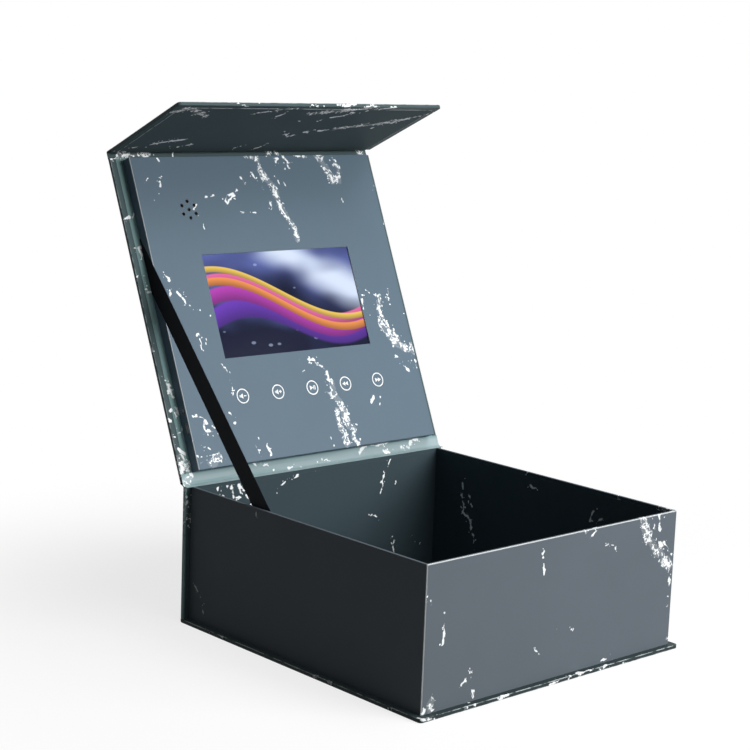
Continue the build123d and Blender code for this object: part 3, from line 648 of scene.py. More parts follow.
# ---- Lid ----
# The lid's board has the covering sheet outside, turned in over its edges, and a lining inside,
# both glued down. The block that holds the player stands on the lining.
LID_VEINS = (
    (5, ((-135, 264), (-126, 266), (-125, 262))),
    (5, ((-136, 215), (-132, 216))),
    (4, ((-128, 216), (-125, 218))),
    (4, ((-136, 212), (-134, 213))),
    (5, ((-132, 189), (-126, 190))),
    (4, ((-128, 188), (-128, 184))),
    (5, ((-138, 167), (-133, 168))),
    (4, ((-131, 160), (-130, 157))),
    (5, ((-130, 154), (-126, 153))),
    (5, ((-138, 114), (-136, 108))),
    (4, ((-136, 100), (-135, 94))),
    (6, ((-131, 86), (-129, 77), (-128, 69))),
    (6, ((-132, 61), (-128, 59), (-124, 55))),
    (4, ((-135, 54), (-133, 53))),
    (6, ((-125, 46), (-128, 43), (-132, 37))),
    (5, ((-132, 30), (-127, 26))),
    (7, ((-131, 23), (-125, 16))),
    (7, ((-132, 19), (-129, 12))),
    (8, ((-137, 20), (-133, 15), (-136, 9))),
)
LID_START = 3.0
LID_LENGTH = 264.7
LID_THICKNESS = 3.1
cover("lid_board", grey_board)
cover("lid_wrap", marble_paper("lid_paper", tone=CASE_TONE, strokes=(
    on_face(lid_place(0.0, 0.0), RIGHT, LID_UP, LID_VEINS)
    + on_face(
        lid_place(-CASE_SIDE, 0.0, -LID_THICKNESS), RIGHT, LID_UP,
        scattered(31, 14, CASE_WIDTH, LID_LENGTH),
    )
), edges=(
    # Paler lines along the lid's left edges, outside and in: partly wear, partly painted highlight.
    (0.9, [lid_place(-CASE_SIDE, along) for along in (LID_START, LID_LENGTH)]),
    (0.8, [lid_place(-CASE_SIDE, along, -LID_THICKNESS) for along in (LID_START, LID_LENGTH)]),
)))
# Painted light: the lining is given a far paler tone than the outside sheet, for the light on the
# margin beside the block.
cover("lid_lining", marble_paper("lid_lining_paper", tone=CASE_LINING_LIT_TONE, strokes=(
    on_face(lid_place(0.0, 0.0), RIGHT, LID_UP, LID_VEINS)
)))

# ---- Face of the block ----
# A fibreboard frame carries the modules, and a face board with the openings closes it. One sheet
# of the marbled paper is glued over the face and down the four sides.
BLOCK_DEPTH = 9.5
PANEL_VEINS = (
    (8, ((-6, 263), (3, 260), (1, 253), (6, 244), (12, 233), (13, 222))),
    (7, ((13, 222), (18, 212), (24, 200), (25, 188))),
    (5, ((-8, 247), (-1, 235), (4, 219))),
    (5, ((17, 262), (24, 259), (22, 254))),
    (6, ((28, 262), (34, 256), (33, 252))),
    (5, ((41, 261), (56, 261))),
    (7, ((69, 262), (73, 254), (78, 243), (78, 238))),
    (6.5, ((83, 259), (88, 249), (84, 239))),
    (4, ((17, 243), (19, 236))),
    (4, ((25, 239), (26, 237))),
    (4, ((-19, 244), (-16, 239))),
    (5, ((-27, 235), (-32, 231), (-42, 225), (-40, 222), (-32, 228))),
    (5, ((-59, 226), (-52, 228))),
    (4, ((-69, 221), (-72, 218))),
    (2.5, ((-70, 211), (-68, 201))),
    (2.5, ((-27, 215), (-20, 214), (-13, 213))),
    (3, ((83, 224), (84, 220))),
    (3, ((126, 237), (125, 230))),
    (4, ((125, 204), (124, 196))),
    (4, ((-100, 246), (-103, 237))),
    (3, ((-107, 232), (-110, 227))),
    (3, ((-112, 243), (-113, 241))),
    (3, ((-98, 261), (-98, 259))),
    (3, ((-78, 264), (-79, 262))),
    (4, ((86, 140), (88, 137))),
    (5, ((95, 137), (94, 135))),
    (7, ((100, 134), (97, 124), (98, 112), (102, 103))),
    (9, ((102, 103), (111, 90), (122, 82))),
    (5, ((103, 111), (107, 102))),
    (5, ((80, 132), (80, 126))),
    (4, ((82, 124), (86, 118))),
    (4, ((112, 140), (111, 128))),
    (4, ((125, 122), (125, 116))),
    (6, ((107, 80), (113, 69))),
    (5, ((122, 74), (125, 69))),
    (6, ((6, 86), (15, 81), (21, 76), (26, 64))),
    (7, ((26, 64), (21, 58), (28, 52), (30, 42))),
    (9, ((30, 42), (36, 23), (38, 11))),
    (6.5, ((25, 41), (23, 34), (24, 24), (28, 12))),
    (4, ((-3, 86), (-2, 78))),
    (3, ((-82, 89), (-78, 84), (-77, 75), (-76, 64))),
    (4, ((-84, 50), (-82, 47))),
    (4, ((-82, 43), (-82, 41))),
    (3, ((-64, 29), (-65, 23))),
    (4, ((-64, 18), (-65, 15))),
    (4, ((-56, 21), (-52, 13))),
    (2.5, ((10, 19), (13, 12))),
    (4, ((-120, 51), (-116, 50))),
    (5, ((-114, 49), (-110, 48), (-108, 44), (-112, 42))),
    (5, ((-112, 42), (-111, 39), (-104, 37))),
    (4, ((-104, 41), (-100, 36))),
    (4, ((-125, 32), (-120, 29), (-115, 27))),
    (4, ((-113, 28), (-111, 24))),
    (6, ((-125, 21), (-120, 17))),
    (6, ((-120, 14), (-113, 15))),
    (7, ((-111, 11), (-107, 14), (-102, 16))),
    (3, ((-112, 19), (-106, 18))),
    (4, ((68, 48), (65, 42))),
    (3, ((76, 48), (74, 42))),
    (4, ((-118, 166), (-115, 163), (-114, 160))),
    (4, ((-116, 153), (-116, 147))),
    (6, ((-109, 149), (-106, 146), (-102, 142))),
    (5, ((-102, 142), (-91, 134))),
    (3, ((-80, 132), (-81, 130))),
    (4, ((-100, 115), (-92, 110), (-91, 106))),
    (3, ((-98, 110), (-96, 102))),
)
PANEL_SIDE = 125.3
PANEL_START = 9.0
PANEL_END = 262.0
FILLER_COLOUR = (0.50, 0.41, 0.29, 1.0)
FILLER_FIBRE = (0.62, 0.53, 0.40, 1.0)
cover("block_frame", grained(
    "block_fibreboard", FILLER_COLOUR, FILLER_FIBRE, 420.0, rough=(0.75, 0.9)
))
cover("panel_board", grey_board)
cover("panel_wrap", marble_paper("panel_paper", tone=FACE_TONE, strokes=(
    on_face(lid_place(0.0, 0.0, BLOCK_DEPTH), RIGHT, LID_UP, PANEL_VEINS)
), edges=(
    # A paler line down the face's left edge: partly wear, partly painted highlight.
    (1.1, [lid_place(-PANEL_SIDE, along, BLOCK_DEPTH) for along in (PANEL_START, PANEL_END)]),
), break_up=(0.0, 0.35)))

# ---- Display ----
# A seven-inch liquid crystal module sits in the block, behind the window in its face: a folded
# steel frame, the glass and a moulded light guide behind it. Its picture is coloured waves.
SCREEN_MIDDLE = (0.5, 136.7)
SCREEN_SIZE = (154.4, 86.0)
BEZEL_STEEL = (0.24, 0.245, 0.25, 1.0)
BEZEL_DULL = (0.18, 0.185, 0.19, 1.0)
GUIDE_COLOUR = (0.82, 0.83, 0.85, 1.0)
GUIDE_DOT = (0.92, 0.93, 0.94, 1.0)
SKY_LOW = (0.004, 0.006, 0.030, 1.0)
SKY_HIGH = (0.115, 0.150, 0.430, 1.0)
SKY_GLOW = (0.72, 0.82, 1.0, 1.0)
SPARK = (0.55, 0.66, 0.95, 1.0)
WAVES = (
    # height, swing, waves across, start, half width, colour
    (0.30, 0.17, 0.80, 0.10, 0.115, (0.165, 0.050, 0.520, 1.0)),
    (0.40, 0.22, 0.72, 0.22, 0.085, (0.520, 0.060, 0.500, 1.0)),
    (0.52, 0.24, 0.66, 0.30, 0.065, (0.850, 0.160, 0.400, 1.0)),
    (0.47, 0.27, 0.60, 0.36, 0.045, (0.950, 0.330, 0.090, 1.0)),
    (0.58, 0.28, 0.56, 0.42, 0.034, (0.960, 0.640, 0.120, 1.0)),
)


def lid_across_and_up(tree):
    """Two sockets in millimetres: across the lid, and up it from the hinge."""
    parts = tree.nodes.new("ShaderNodeSeparateXYZ")
    tree.links.new(object_place(tree), parts.inputs["Vector"])
    across = math(tree, "MULTIPLY", parts.outputs["X"], 1.0 / MM)
    back = math(tree, "MULTIPLY", parts.outputs["Y"], LID_UP.y / MM)
    high = math(tree, "MULTIPLY", parts.outputs["Z"], LID_UP.z / MM)
    up = math(tree, "SUBTRACT", math(tree, "ADD", back, high), HINGE.dot(LID_UP))
    return across, up


def screen_picture():
    """Lit picture: soft coloured waves over a blurred night sky with points of light."""
    material, tree, shader = node_tree("lit_screen")
    across, up = lid_across_and_up(tree)
    u = math(tree, "DIVIDE", math(tree, "SUBTRACT", across, SCREEN_MIDDLE[0]), SCREEN_SIZE[0])
    u = math(tree, "ADD", u, 0.5)
    v = math(tree, "DIVIDE", math(tree, "SUBTRACT", up, SCREEN_MIDDLE[1]), SCREEN_SIZE[1])
    v = math(tree, "ADD", v, 0.5)
    flat = tree.nodes.new("ShaderNodeCombineXYZ")
    tree.links.new(u, flat.inputs["X"])
    tree.links.new(v, flat.inputs["Y"])
    blur = noise(tree, flat.outputs["Vector"], 2.4, detail=1.0).outputs["Fac"]
    rise = math(tree, "ADD", math(tree, "MULTIPLY", v, 0.5), blur)
    picture = colour_mix(tree, step(tree, rise, 0.58, 1.10), SKY_LOW, SKY_HIGH)
    beam = math(tree, "ABSOLUTE", math(tree, "SUBTRACT", math(tree, "ADD", u, v), 1.55))
    beam = math(tree, "SUBTRACT", 1.0, step(tree, beam, 0.02, 0.34))
    haze = math(tree, "MULTIPLY", beam, step(tree, blur, 0.34, 0.62))
    picture = colour_mix(tree, haze, picture, SKY_GLOW)
    lights = tree.nodes.new("ShaderNodeTexVoronoi")
    lights.inputs["Scale"].default_value = 9.0
    tree.links.new(flat.outputs["Vector"], lights.inputs["Vector"])
    spark = math(tree, "SUBTRACT", 1.0, step(tree, lights.outputs["Distance"], 0.10, 0.16))
    picture = colour_mix(tree, math(tree, "MULTIPLY", spark, 0.35), picture, SPARK)
    for height, swing, count, start, half, colour in WAVES:
        turn = math(tree, "MULTIPLY", math(tree, "ADD", u, start), 2.0 * pi * count)
        line = math(tree, "MULTIPLY", math(tree, "SINE", turn), swing)
        away = math(tree, "SUBTRACT", v, math(tree, "ADD", line, height))
        body = step(tree, math(tree, "ABSOLUTE", away), half * 0.7, half)
        body = math(tree, "SUBTRACT", 1.0, body)
        shade = step(tree, away, -1.4 * half, 1.2 * half)
        tint = colour_mix(tree, shade, tuple(0.35 * part for part in colour[:3]) + (1.0,), colour)
        picture = colour_mix(tree, body, picture, tint)
    tree.links.new(picture, shader.inputs["Emission Color"])
    shader.inputs["Emission Strength"].default_value = 1.0
    shader.inputs["Base Color"].default_value = (0.010, 0.011, 0.013, 1.0)
    haze_rough = noise(tree, flat.outputs["Vector"], 60.0, detail=2.0).outputs["Fac"]
    rough_from(tree, shader, haze_rough, 0.0, 0.24)
    shader.inputs["Specular IOR Level"].default_value = 0.012
    return material


def guide_material():
    """White moulding with the fine printed dots that spread its light."""
    material, tree, shader = node_tree("light_guide_dots")
    dots = tree.nodes.new("ShaderNodeTexVoronoi")
    dots.inputs["Scale"].default_value = 700.0
    dots.inputs["Randomness"].default_value = 0.15
    tree.links.new(object_place(tree), dots.inputs["Vector"])
    share = step(tree, dots.outputs["Distance"], 0.25, 0.35)
    tree.links.new(colour_mix(tree, share, GUIDE_DOT, GUIDE_COLOUR), shader.inputs["Base Color"])
    rough_from(tree, shader, share, 0.2, 0.4)
    return material


cover("display_glass", screen_picture())
cover("display_bezel", grained(
    "bezel_sheet_steel", BEZEL_STEEL, BEZEL_DULL, 300.0, stretch=(1.0, 12.0, 12.0),
    rough=(0.3, 0.45), gloss=0.5, metal=1.0,
))
cover("display_backlight", guide_material())

# ---- Keys ----
# Five caps stand level with the block's face, each on a small push switch. A ring and a control
# symbol are printed white on each cap, whose film is the same as the covering paper's.
KEY_ROW = 62.2
KEY_PLACES = (-67.8, -31.8, 4.2, 40.2, 76.2)
KEY_RADIUS = 6.1
KEY_RING_LINE = 0.95
INK_THICKNESS = 0.05
INK_SUNK = 0.03                  # ink that lies below the cap's face
INK_COLOUR = (0.86, 0.88, 0.88, 1.0)
INK_THIN = (0.72, 0.75, 0.76, 1.0)
PLUNGER_WHITE = (0.74, 0.74, 0.71, 1.0)
PLUNGER_SHADE = (0.66, 0.66, 0.63, 1.0)
SWITCH_BLACK = (0.022, 0.022, 0.024, 1.0)
SWITCH_GREY = (0.034, 0.034, 0.036, 1.0)
SPEAKER_MARK = (("bar", -2.55, 0.0, 1.3, 1.9), ("triangle", -1.15, 180.0, 2.5))
KEY_MARKS = (
    SPEAKER_MARK + (("bar", 2.2, 0.0, 2.6, 0.85),),
    SPEAKER_MARK + (("bar", 2.2, 0.0, 2.6, 0.85), ("bar", 2.2, 0.0, 0.85, 2.6)),
    (("triangle", -1.5, 0.0, 2.3), ("bar", 1.35, 0.0, 0.8, 3.6), ("bar", 2.75, 0.0, 0.8, 3.6)),
    (("triangle", -1.45, 180.0, 2.1), ("triangle", 1.55, 180.0, 2.1)),
    (("triangle", -1.55, 0.0, 2.1), ("triangle", 1.45, 0.0, 2.1)),
)
lid_turn = Matrix((RIGHT, LID_UP, LID_OUT)).transposed().to_4x4()


def key_symbol(name, centre, marks):
    """Printed ring and marks, drawn flat, raised by the ink's thickness and laid on the cap."""
    bpy.ops.mesh.primitive_circle_add(vertices=64, radius=KEY_RADIUS * MM, fill_type="NGON")
    symbol = bpy.context.object
    symbol.name = name
    bpy.ops.object.mode_set(mode="EDIT")
    bpy.ops.mesh.select_mode(type="FACE")
    bpy.ops.mesh.select_all(action="SELECT")
    bpy.ops.mesh.inset(thickness=KEY_RING_LINE * MM)
    bpy.ops.mesh.delete(type="FACE")
    for kind, x, *shape in marks:
        if kind == "triangle":
            heading, radius = shape
            bpy.ops.mesh.primitive_circle_add(
                vertices=3, radius=radius * MM, fill_type="NGON", location=(x * MM, 0.0, 0.0),
                rotation=(0.0, 0.0, radians(heading - 90.0)),
            )
        else:
            y, width, height = shape
            bpy.ops.mesh.primitive_plane_add(size=1.0, location=(x * MM, y * MM, 0.0))
            bpy.ops.transform.resize(
                value=(width * MM, height * MM, 1.0), center_override=(x * MM, y * MM, 0.0)
            )
    bpy.ops.mesh.select_all(action="SELECT")
    bpy.ops.mesh.extrude_region_move(
        TRANSFORM_OT_translate={"value": (0.0, 0.0, INK_THICKNESS * MM)}
    )
    bpy.ops.mesh.select_all(action="SELECT")
    bpy.ops.mesh.normals_make_consistent(inside=False)
    bpy.ops.object.mode_set(mode="OBJECT")
    symbol.matrix_world = Matrix.Translation(centre * MM) @ lid_turn
    bpy.ops.object.transform_apply(location=True, rotation=True, scale=True)
    return symbol


white_ink = grained("white_ink", INK_COLOUR, INK_THIN, 900.0, rough=(0.4, 0.55))
cap_film = marble_paper("key_cap_film", (), FACE_TONE)
white_moulding = grained("plunger_moulding", PLUNGER_WHITE, PLUNGER_SHADE, 500.0, rough=(0.35, 0.5))
black_moulding = grained("switch_moulding", SWITCH_BLACK, SWITCH_GREY, 600.0, rough=(0.45, 0.6))
for number, (x, marks) in enumerate(zip(KEY_PLACES, KEY_MARKS), start=1):
    cover(f"key_cap_{number}", cap_film)
    cover(f"key_plunger_{number}", white_moulding)
    middle = lid_place(x, KEY_ROW, BLOCK_DEPTH - INK_SUNK)
    symbol = key_symbol(f"key_symbol_{number}", middle, marks)
    symbol.data.materials.append(white_ink)
    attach(symbol, f"key_{number}")
cover("key_switches", black_moulding)

# ---- Speaker ----
# A small loudspeaker behind seven punched holes: a pressed steel basket, a black paper
# diaphragm and a magnet.
BASKET_STEEL = (0.46, 0.46, 0.45, 1.0)
BASKET_DULL = (0.38, 0.38, 0.38, 1.0)
CONE_BLACK = (0.020, 0.020, 0.021, 1.0)
CONE_GREY = (0.040, 0.040, 0.041, 1.0)
cover("speaker_frame", grained(
    "basket_steel", BASKET_STEEL, BASKET_DULL, 400.0, rough=(0.3, 0.5), gloss=0.5, metal=1.0
))
cover("speaker_cone", grained("cone_paper_fibre", CONE_BLACK, CONE_GREY, 1200.0, rough=(0.8, 0.95)))
cover("speaker_magnet", nickel_plate)

# ---- Circuit boards ----
# The player's board carries its chips, the charging inlet, the power switch and the lid's
# sensor. A narrow board carries the key switches. Both are green with copper tracks.
MASK_GREEN = (0.012, 0.105, 0.045, 1.0)
TRACK_GREEN = (0.030, 0.190, 0.080, 1.0)
CHIP_BLACK = (0.018, 0.018, 0.019, 1.0)
CHIP_GREY = (0.045, 0.045, 0.046, 1.0)
INLET_STEEL = (0.58, 0.58, 0.58, 1.0)
INLET_DULL = (0.48, 0.48, 0.49, 1.0)
KNOB_GREY = (0.50, 0.51, 0.52, 1.0)
KNOB_SHADE = (0.43, 0.44, 0.45, 1.0)
TRACK_PITCH = 1.6


def circuit_material():
    """Solder mask with straight tracks under it, some across the board and some up it."""
    material, tree, shader = node_tree("solder_mask")
    across, up = lid_across_and_up(tree)
    fine = tree.nodes.new("ShaderNodeCombineXYZ")
    tree.links.new(across, fine.inputs["X"])
    tree.links.new(up, fine.inputs["Y"])
    patch = noise(tree, fine.outputs["Vector"], 0.16, detail=1.0).outputs["Fac"]
    tracks = []
    for along in (across, up):
        wave = math(tree, "SINE", math(tree, "MULTIPLY", along, 2.0 * pi / TRACK_PITCH))
        tracks.append(step(tree, wave, 0.45, 0.60))
    turn = step(tree, patch, 0.47, 0.49)
    up_share = math(tree, "MULTIPLY", tracks[0], turn)
    across_share = math(tree, "MULTIPLY", tracks[1], math(tree, "SUBTRACT", 1.0, turn))
    share = math(tree, "ADD", up_share, across_share)
    tree.links.new(colour_mix(tree, share, MASK_GREEN, TRACK_GREEN), shader.inputs["Base Color"])
    rough_from(tree, shader, patch, 0.28, 0.48)
    raised(tree, shader, share, 0.4, 0.00005)
    return material


solder_mask = circuit_material()
chip_moulding = grained("chip_moulding", CHIP_BLACK, CHIP_GREY, 1500.0, rough=(0.55, 0.75))
cover("key_board", solder_mask)
cover("main_board", solder_mask)
cover("board_chips", chip_moulding)
cover("lid_sensor", chip_moulding)
cover("power_switch_body", black_moulding)
cover("power_knob", grained("knob_moulding", KNOB_GREY, KNOB_SHADE, 800.0, rough=(0.4, 0.55)))
cover("usb_inlet", grained(
    "inlet_steel", INLET_STEEL, INLET_DULL, 500.0, stretch=(6.0, 1.0, 1.0), rough=(0.25, 0.4),
    gloss=0.5, metal=1.0,
))

# ---- Battery ----
# A flat lithium cell in a pouch of aluminium foil, sealed along its upper edge and laid in the
# frame's pocket.
FOIL = (0.62, 0.62, 0.63, 1.0)
FOIL_DULL = (0.52, 0.52, 0.53, 1.0)
cover("battery", grained(
    "pouch_foil", FOIL, FOIL_DULL, 160.0, rough=(0.3, 0.5), gloss=0.5, metal=0.85, depth=0.0003
))

# ---- Flap ----
# The closing flap is covered as the lid is. Its lining stops short of the edge, so that a
# white line of cut paper shows round it.
FLAP_LINING_VEINS = (
    (7, ((-132, 86), (-125, 95), (-112, 90), (-100, 79))),
    (6, ((-121, 14), (-103, 24), (-83, 32))),
    (5, ((-92, 26), (-84, 32))),
    (5, ((-86, 15), (-69, 20))),
    (4, ((-21, 11), (-12, 19))),
    (4, ((3, 7), (8, 21))),
    (4, ((-58, 85), (-44, 90))),
    (5, ((-26, 78), (-24, 86))),
    (6, ((-42, 90), (-21, 97))),
    (4, ((-2, 65), (3, 70))),
    (4, ((5, 47), (19, 36), (21, 41))),
    (5, ((28, 47), (48, 51))),
    (7, ((54, 54), (90, 64), (116, 76))),
    (6, ((95, 55), (113, 72), (133, 88))),
    (7, ((0, 86), (37, 94), (65, 103))),
    (5, ((23, 71), (47, 87))),
    (6, ((43, 89), (68, 95), (88, 103))),
    (5, ((-136, 6), (-124, 3))),
)
FLAP_EDGE_VEINS = (
    (5, ((-93, -2), (-69, -2))),
    (4, ((-8, -1), (7, -2))),
    (6, ((22, -1), (38, -3))),
    (4, ((52, -2), (59, -1))),
)
flap_along, flap_out = flap_axes()
flap_origin = lid_place(0.0, FLAP_START)
FLAP_LENGTH = 101.0
flap_strokes = on_face(flap_origin, RIGHT, flap_along, FLAP_LINING_VEINS)
flap_end_strokes = on_face(
    flap_origin + FLAP_LENGTH * flap_along, RIGHT, flap_out, FLAP_EDGE_VEINS
)
FLAP_LINING_START = 4.0
LINING_INSET = 5.0
LINING_EDGE = 0.6                # paper's white core that shows round the lining
flap_lining_side = CASE_SIDE - LINING_INSET - LINING_EDGE / 2
flap_lining_end = FLAP_LENGTH - LINING_INSET - LINING_EDGE / 2


def flap_place(x, along, out=0.0):
    return flap_origin + x * RIGHT + along * flap_along + out * flap_out


cut_edge = [(0.9, [
    flap_place(-flap_lining_side, FLAP_LINING_START), flap_place(-flap_lining_side, flap_lining_end),
    flap_place(flap_lining_side, flap_lining_end), flap_place(flap_lining_side, FLAP_LINING_START),
])]
cover("flap_board", grey_board)
cover("flap_lining", marble_paper(
    "flap_lining_paper", flap_strokes, FLAP_LINING_TONE, edges=cut_edge
))
cover("flap_wrap", marble_paper("flap_paper", tone=CASE_TONE, strokes=(
    flap_strokes + flap_end_strokes + on_face(
        flap_place(-CASE_SIDE, 0.0, -LID_THICKNESS), RIGHT, flap_along,
        scattered(41, 6, CASE_WIDTH, 95.0),
    )
), edges=(
    # Paler line along the flap's front edge: partly wear, partly painted highlight.
    (0.8, [flap_place(side, FLAP_LENGTH, -LID_THICKNESS) for side in (-CASE_SIDE, CASE_SIDE)]),
)))

# ---- Papers over the hinges ----
# Between the spine and the lid, and between the lid and the flap, there is no board: there the
# covering paper and the lining bend by themselves. Each is drawn in its side view, from one
# edge of a sheet that is extruded run by run, and given the paper's thickness.
PAPER = 0.2
BEND_STEPS = 8


def pulled_sheet(name, edge, line):
    """Sheet pulled out of one straight edge, run by run along a line of points."""
    bpy.ops.mesh.primitive_plane_add(size=MM)
    piece = bpy.context.object
    piece.name = name
    bpy.ops.object.mode_set(mode="EDIT")
    bpy.ops.mesh.select_all(action="DESELECT")
    bpy.ops.mesh.select_mode(type="VERT")
    drawing = bmesh.from_edit_mesh(piece.data)
    for corner in drawing.verts:
        corner.select = corner.co.x > 0.0
    drawing.select_flush_mode()
    bmesh.update_edit_mesh(piece.data)
    bpy.ops.mesh.delete(type="VERT")
    bpy.ops.mesh.select_all(action="SELECT")
    drawing = bmesh.from_edit_mesh(piece.data)
    for corner, place in zip(drawing.verts, edge):
        corner.co = place * MM
    bmesh.update_edit_mesh(piece.data)
    for here, there in zip(line, line[1:]):
        bpy.ops.mesh.extrude_region_move(TRANSFORM_OT_translate={"value": (there - here) * MM})
    bpy.ops.mesh.select_all(action="SELECT")
    return piece


def thicken(piece, thickness):
    """Give a sheet its thickness, half to each side."""
    modifier = piece.modifiers.new("thickness", "SOLIDIFY")
    modifier.thickness = thickness * MM
    modifier.offset = 0.0
    bpy.ops.object.modifier_apply(modifier=modifier.name)


def paper_strip(name, side_view, thickness):
    """Sheet across the whole width of the case, along points (y, z) of its side view."""
    line = [Vector((0.0, *point)) for point in side_view]
    strip = pulled_sheet(name, (line[0] - CASE_SIDE * RIGHT, line[0] + CASE_SIDE * RIGHT), line)
    bpy.ops.mesh.normals_make_consistent(inside=False)
    bpy.ops.object.mode_set(mode="OBJECT")
    rest = strip.data.attributes.new("rest_place", "FLOAT_VECTOR", "POINT")
    rest.data.foreach_set("vector", [value for corner in strip.data.vertices for value in corner.co])
    thicken(strip, thickness)
    bpy.ops.object.shade_smooth_by_angle(angle=radians(40))
    return strip


def side_place(along, out):
    """Side view (y, z) of a point of the lid."""
    point = lid_place(0.0, along, out)
    return point.y, point.z


def rounded(first, corner, last, share, count):
    """Points of a smooth bend between two straight runs, from share of each run's length."""
    start = [c + (f - c) * share for f, c in zip(first, corner)]
    stop = [c + (e - c) * share for e, c in zip(last, corner)]
    bend = []
    for i in range(count + 1):
        t = i / count
        weights = ((1 - t) ** 2, 2 * t * (1 - t), t ** 2)
        bend.append(tuple(
            sum(w * p for w, p in zip(weights, parts)) for parts in zip(start, corner, stop)
        ))
    return bend


# Painted light on the gutter's upward-facing bend.
GUTTER_LIGHT = (0.32, 0.41, 0.43, 1.0)
GLUE = 0.05
gutter_level = TRAY_RIM + PAPER / 2 + GLUE
gutter_foot = (135.3, gutter_level)
lining_strip = paper_strip("hinge_lining_paper", (
    [(y, gutter_level) for y in (130.1, 132.0, 133.4)]
    + rounded((133.4, gutter_level), gutter_foot, side_place(2.0, PAPER / 2), 0.9, BEND_STEPS)
    + [side_place(along, PAPER / 2) for along in (2.6, 3.2, 4.0, 6.5, 9.0)]
), PAPER)
GUTTER_VEINS = (
    (8, ((-136, -1), (-128, 7))),
    (4, ((-65, 12), (-64, 9))),
    (5, ((-58, 8), (-48, 7))),
    (4, ((-51, 6), (-48, 4))),
    (5, ((-34, 1), (-20, 0))),
    (2.5, ((0, 0), (11, 4))),
    (3, ((10, 2), (21, -1))),
    (6, ((47, 4), (52, 9), (69, 7), (77, 9))),
    (6, ((73, 3), (83, 0))),
    (6, ((94, 4), (113, 8))),
)
# Painted light: pale streaks across the whole gutter, over the lining's paler tone, stand in for
# light on this bend.
lining_strip.data.materials.append(marble_paper(
    "hinge_lining_paper", on_face(lid_place(0.0, 0.0), RIGHT, LID_UP, GUTTER_VEINS),
    CASE_LINING_LIT_TONE, attribute="rest_place", edges=(
        (8.0, [lid_place(side, 3.6) for side in (-CASE_SIDE, CASE_SIDE)]),
        (6.0, [Vector((side, 132.0, 108.4)) for side in (-CASE_SIDE, CASE_SIDE)]),
    ), wear_and_light_colour=GUTTER_LIGHT, break_up=(0.1, 0.6), break_up_stretch=(0.05, 1.0, 1.0),
))
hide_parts("hinge_lining_strip")
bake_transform(lining_strip)

outer_level = -3.0               # middle of the outer paper's thickness, below the lid's lining
outer_foot = (135.5, TRAY_RIM + PAPER / 2)
outer_head = side_place(2.3, outer_level)
outer_strip = paper_strip("hinge_outer_paper", [
    tuple(low + (high - low) * i / BEND_STEPS for low, high in zip(outer_foot, outer_head))
    for i in range(BEND_STEPS + 1)
] + [side_place(LID_START, outer_level)], PAPER)
outer_veins = scattered(51, 3, CASE_WIDTH, 4.0)
outer_strip.data.materials.append(marble_paper(
    "hinge_outer_paper",
    on_face(lid_place(-CASE_SIDE, 0.0, outer_level), RIGHT, LID_UP, outer_veins),
    CASE_TONE, attribute="rest_place",
))
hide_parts("hinge_outer_strip")
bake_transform(outer_strip)

FLAP_GAP = 3.4
FLAP_BEND = 1.2                  # radius of the bend between the lid and the flap
strip_level = LID_THICKNESS - PAPER
corner_run = strip_level * tan(FLAP_OPENING / 2)
bend_run = FLAP_BEND * tan(FLAP_OPENING / 2)
bend_start = FLAP_START + corner_run - bend_run
bend_centre = FLAP_BEND - strip_level
flap_run = FLAP_GAP + corner_run - bend_run
flap_side = [side_place(FLAP_START - FLAP_GAP, -strip_level)]
for i in range(BEND_STEPS + 1):
    turn = FLAP_OPENING * i / BEND_STEPS
    flap_side.append(side_place(
        bend_start + FLAP_BEND * sin(turn), bend_centre - FLAP_BEND * cos(turn)
    ))
flap_side.append(side_place(
    bend_start + FLAP_BEND * sin(FLAP_OPENING) + flap_run * cos(FLAP_OPENING),
    bend_centre - FLAP_BEND * cos(FLAP_OPENING) + flap_run * sin(FLAP_OPENING),
))
flap_strip = paper_strip("flap_hinge_paper", flap_side, 2 * PAPER)
flap_hinge_veins = scattered(52, 5, CASE_WIDTH, 6.0)
flap_strip.data.materials.append(marble_paper(
    "flap_hinge_paper",
    on_face(lid_place(-CASE_SIDE, FLAP_START, outer_level), RIGHT, LID_UP, flap_hinge_veins),
    CASE_TONE, attribute="rest_place",
))
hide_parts("flap_hinge_strip")
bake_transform(flap_strip)

# ---- Stay ribbon ----
# A woven black ribbon, glued under the block's left side and down the inside of the tray's left
# wall. It is drawn taut, as at the lid's stop; the real ribbon folds into the tray as the lid comes
# down, and this mesh does not follow.
RIBBON_WIDTH = 16.0
RIBBON_THICKNESS = 0.3
RIBBON_RISE = radians(46.3)
RIBBON_RIM = Vector((-128.2, 50.0, 108.3))
RIBBON_BLOCK_X = -125.5
RIBBON_TO_LID = 224.98
RIBBON_DRAWN = (-60.0, RIBBON_TO_LID + 20.0)    # cut to length at the tray and the lid
RIBBON_TAIL_END = 78.3           # height of the lower end, inside the tray
RIBBON_STEP = 5.0
RIB_PITCH = 0.6
THREAD_PITCH = 0.8
RIBBON_GROOVE_SHADE = (0.0025, 0.0032, 0.0045, 1.0)
RIBBON_RIDGE_LIGHT = (0.0070, 0.0085, 0.0120, 1.0)

ribbon_along = Vector((0.0, cos(RIBBON_RISE), sin(RIBBON_RISE)))
ribbon_across = Vector((0.0, sin(RIBBON_RISE), -cos(RIBBON_RISE)))


def ribbon_point(along):
    """Place on the ribbon's middle line, from the tray's rim towards the lid."""
    swing = min(max(along / (RIBBON_TO_LID - 2 * RIBBON_WIDTH), 0.0), 1.0)
    x = RIBBON_RIM.x + (RIBBON_BLOCK_X - RIBBON_RIM.x) * swing
    return Vector((x, RIBBON_RIM.y, RIBBON_RIM.z)) + along * ribbon_along


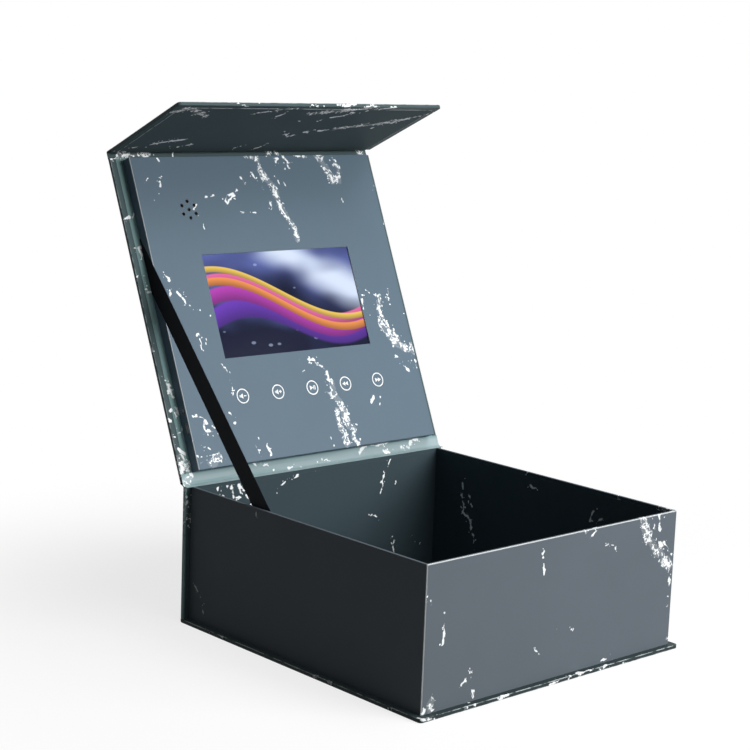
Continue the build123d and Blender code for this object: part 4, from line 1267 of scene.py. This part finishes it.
ribbon_count = round((RIBBON_DRAWN[1] - RIBBON_DRAWN[0]) / RIBBON_STEP)
ribbon_line = [ribbon_point(RIBBON_DRAWN[0] + RIBBON_STEP * i) for i in range(ribbon_count + 1)]
ribbon = pulled_sheet("stay_ribbon_woven", [
    ribbon_line[0] + side * RIBBON_WIDTH * ribbon_across for side in (-0.5, 0.5)
], ribbon_line)
bpy.ops.mesh.bisect(
    plane_co=(0.0, 0.0, RIBBON_TAIL_END * MM), plane_no=(0.0, 0.0, 1.0), clear_inner=True
)
bpy.ops.mesh.select_all(action="SELECT")
bpy.ops.mesh.bisect(
    plane_co=lid_place(0.0, 0.0, GLUE) * MM, plane_no=LID_OUT, clear_inner=True
)
bpy.ops.object.mode_set(mode="OBJECT")
weave_place = ribbon.data.attributes.new("weave_place", "FLOAT_VECTOR", "POINT")
ribbon_start = ribbon_line[0]
places = [corner.co / MM - ribbon_start for corner in ribbon.data.vertices]
weave_place.data.foreach_set("vector", [
    value for place in places
    for value in (place.dot(ribbon_along), place.dot(ribbon_across), 0.0)
])
thicken(ribbon, RIBBON_THICKNESS)


def ribbon_weave():
    """Fine ribs across the ribbon, and a thicker woven edge along each side. Colour follows the
    weave's height: painted shade in the grooves, painted light on the ribs and edges.
    """
    material, tree, shader = node_tree("black_ribbon")
    stored = tree.nodes.new("ShaderNodeAttribute")
    stored.attribute_name = "weave_place"
    parts = tree.nodes.new("ShaderNodeSeparateXYZ")
    tree.links.new(stored.outputs["Vector"], parts.inputs["Vector"])
    ribs = math(tree, "MULTIPLY", parts.outputs["X"], 2.0 * pi / RIB_PITCH)
    rib = math(tree, "MULTIPLY", math(tree, "SINE", ribs), 0.5)
    threads = math(tree, "MULTIPLY", parts.outputs["Y"], 2.0 * pi / THREAD_PITCH)
    thread = math(tree, "MULTIPLY", math(tree, "SINE", threads), 0.25)
    selvedge = step(tree, math(tree, "ABSOLUTE", parts.outputs["Y"]), 7.0, 7.3)
    height = math(tree, "ADD", math(tree, "ADD", rib, thread), selvedge)
    share = step(tree, height, -0.6, 1.2)
    # Painted shade in the weave's grooves and painted light on its ribs.
    tree.links.new(colour_mix(tree, share, RIBBON_GROOVE_SHADE, RIBBON_RIDGE_LIGHT), shader.inputs["Base Color"])
    fuzz = noise(tree, stored.outputs["Vector"], 2.0, detail=2.0).outputs["Fac"]
    rough_from(tree, shader, fuzz, 0.55, 0.75)
    shader.inputs["Specular IOR Level"].default_value = 0.05
    raised(tree, shader, height, 0.5, 0.0001)
    return material


ribbon.data.materials.append(ribbon_weave())
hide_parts("stay_ribbon")
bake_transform(ribbon)
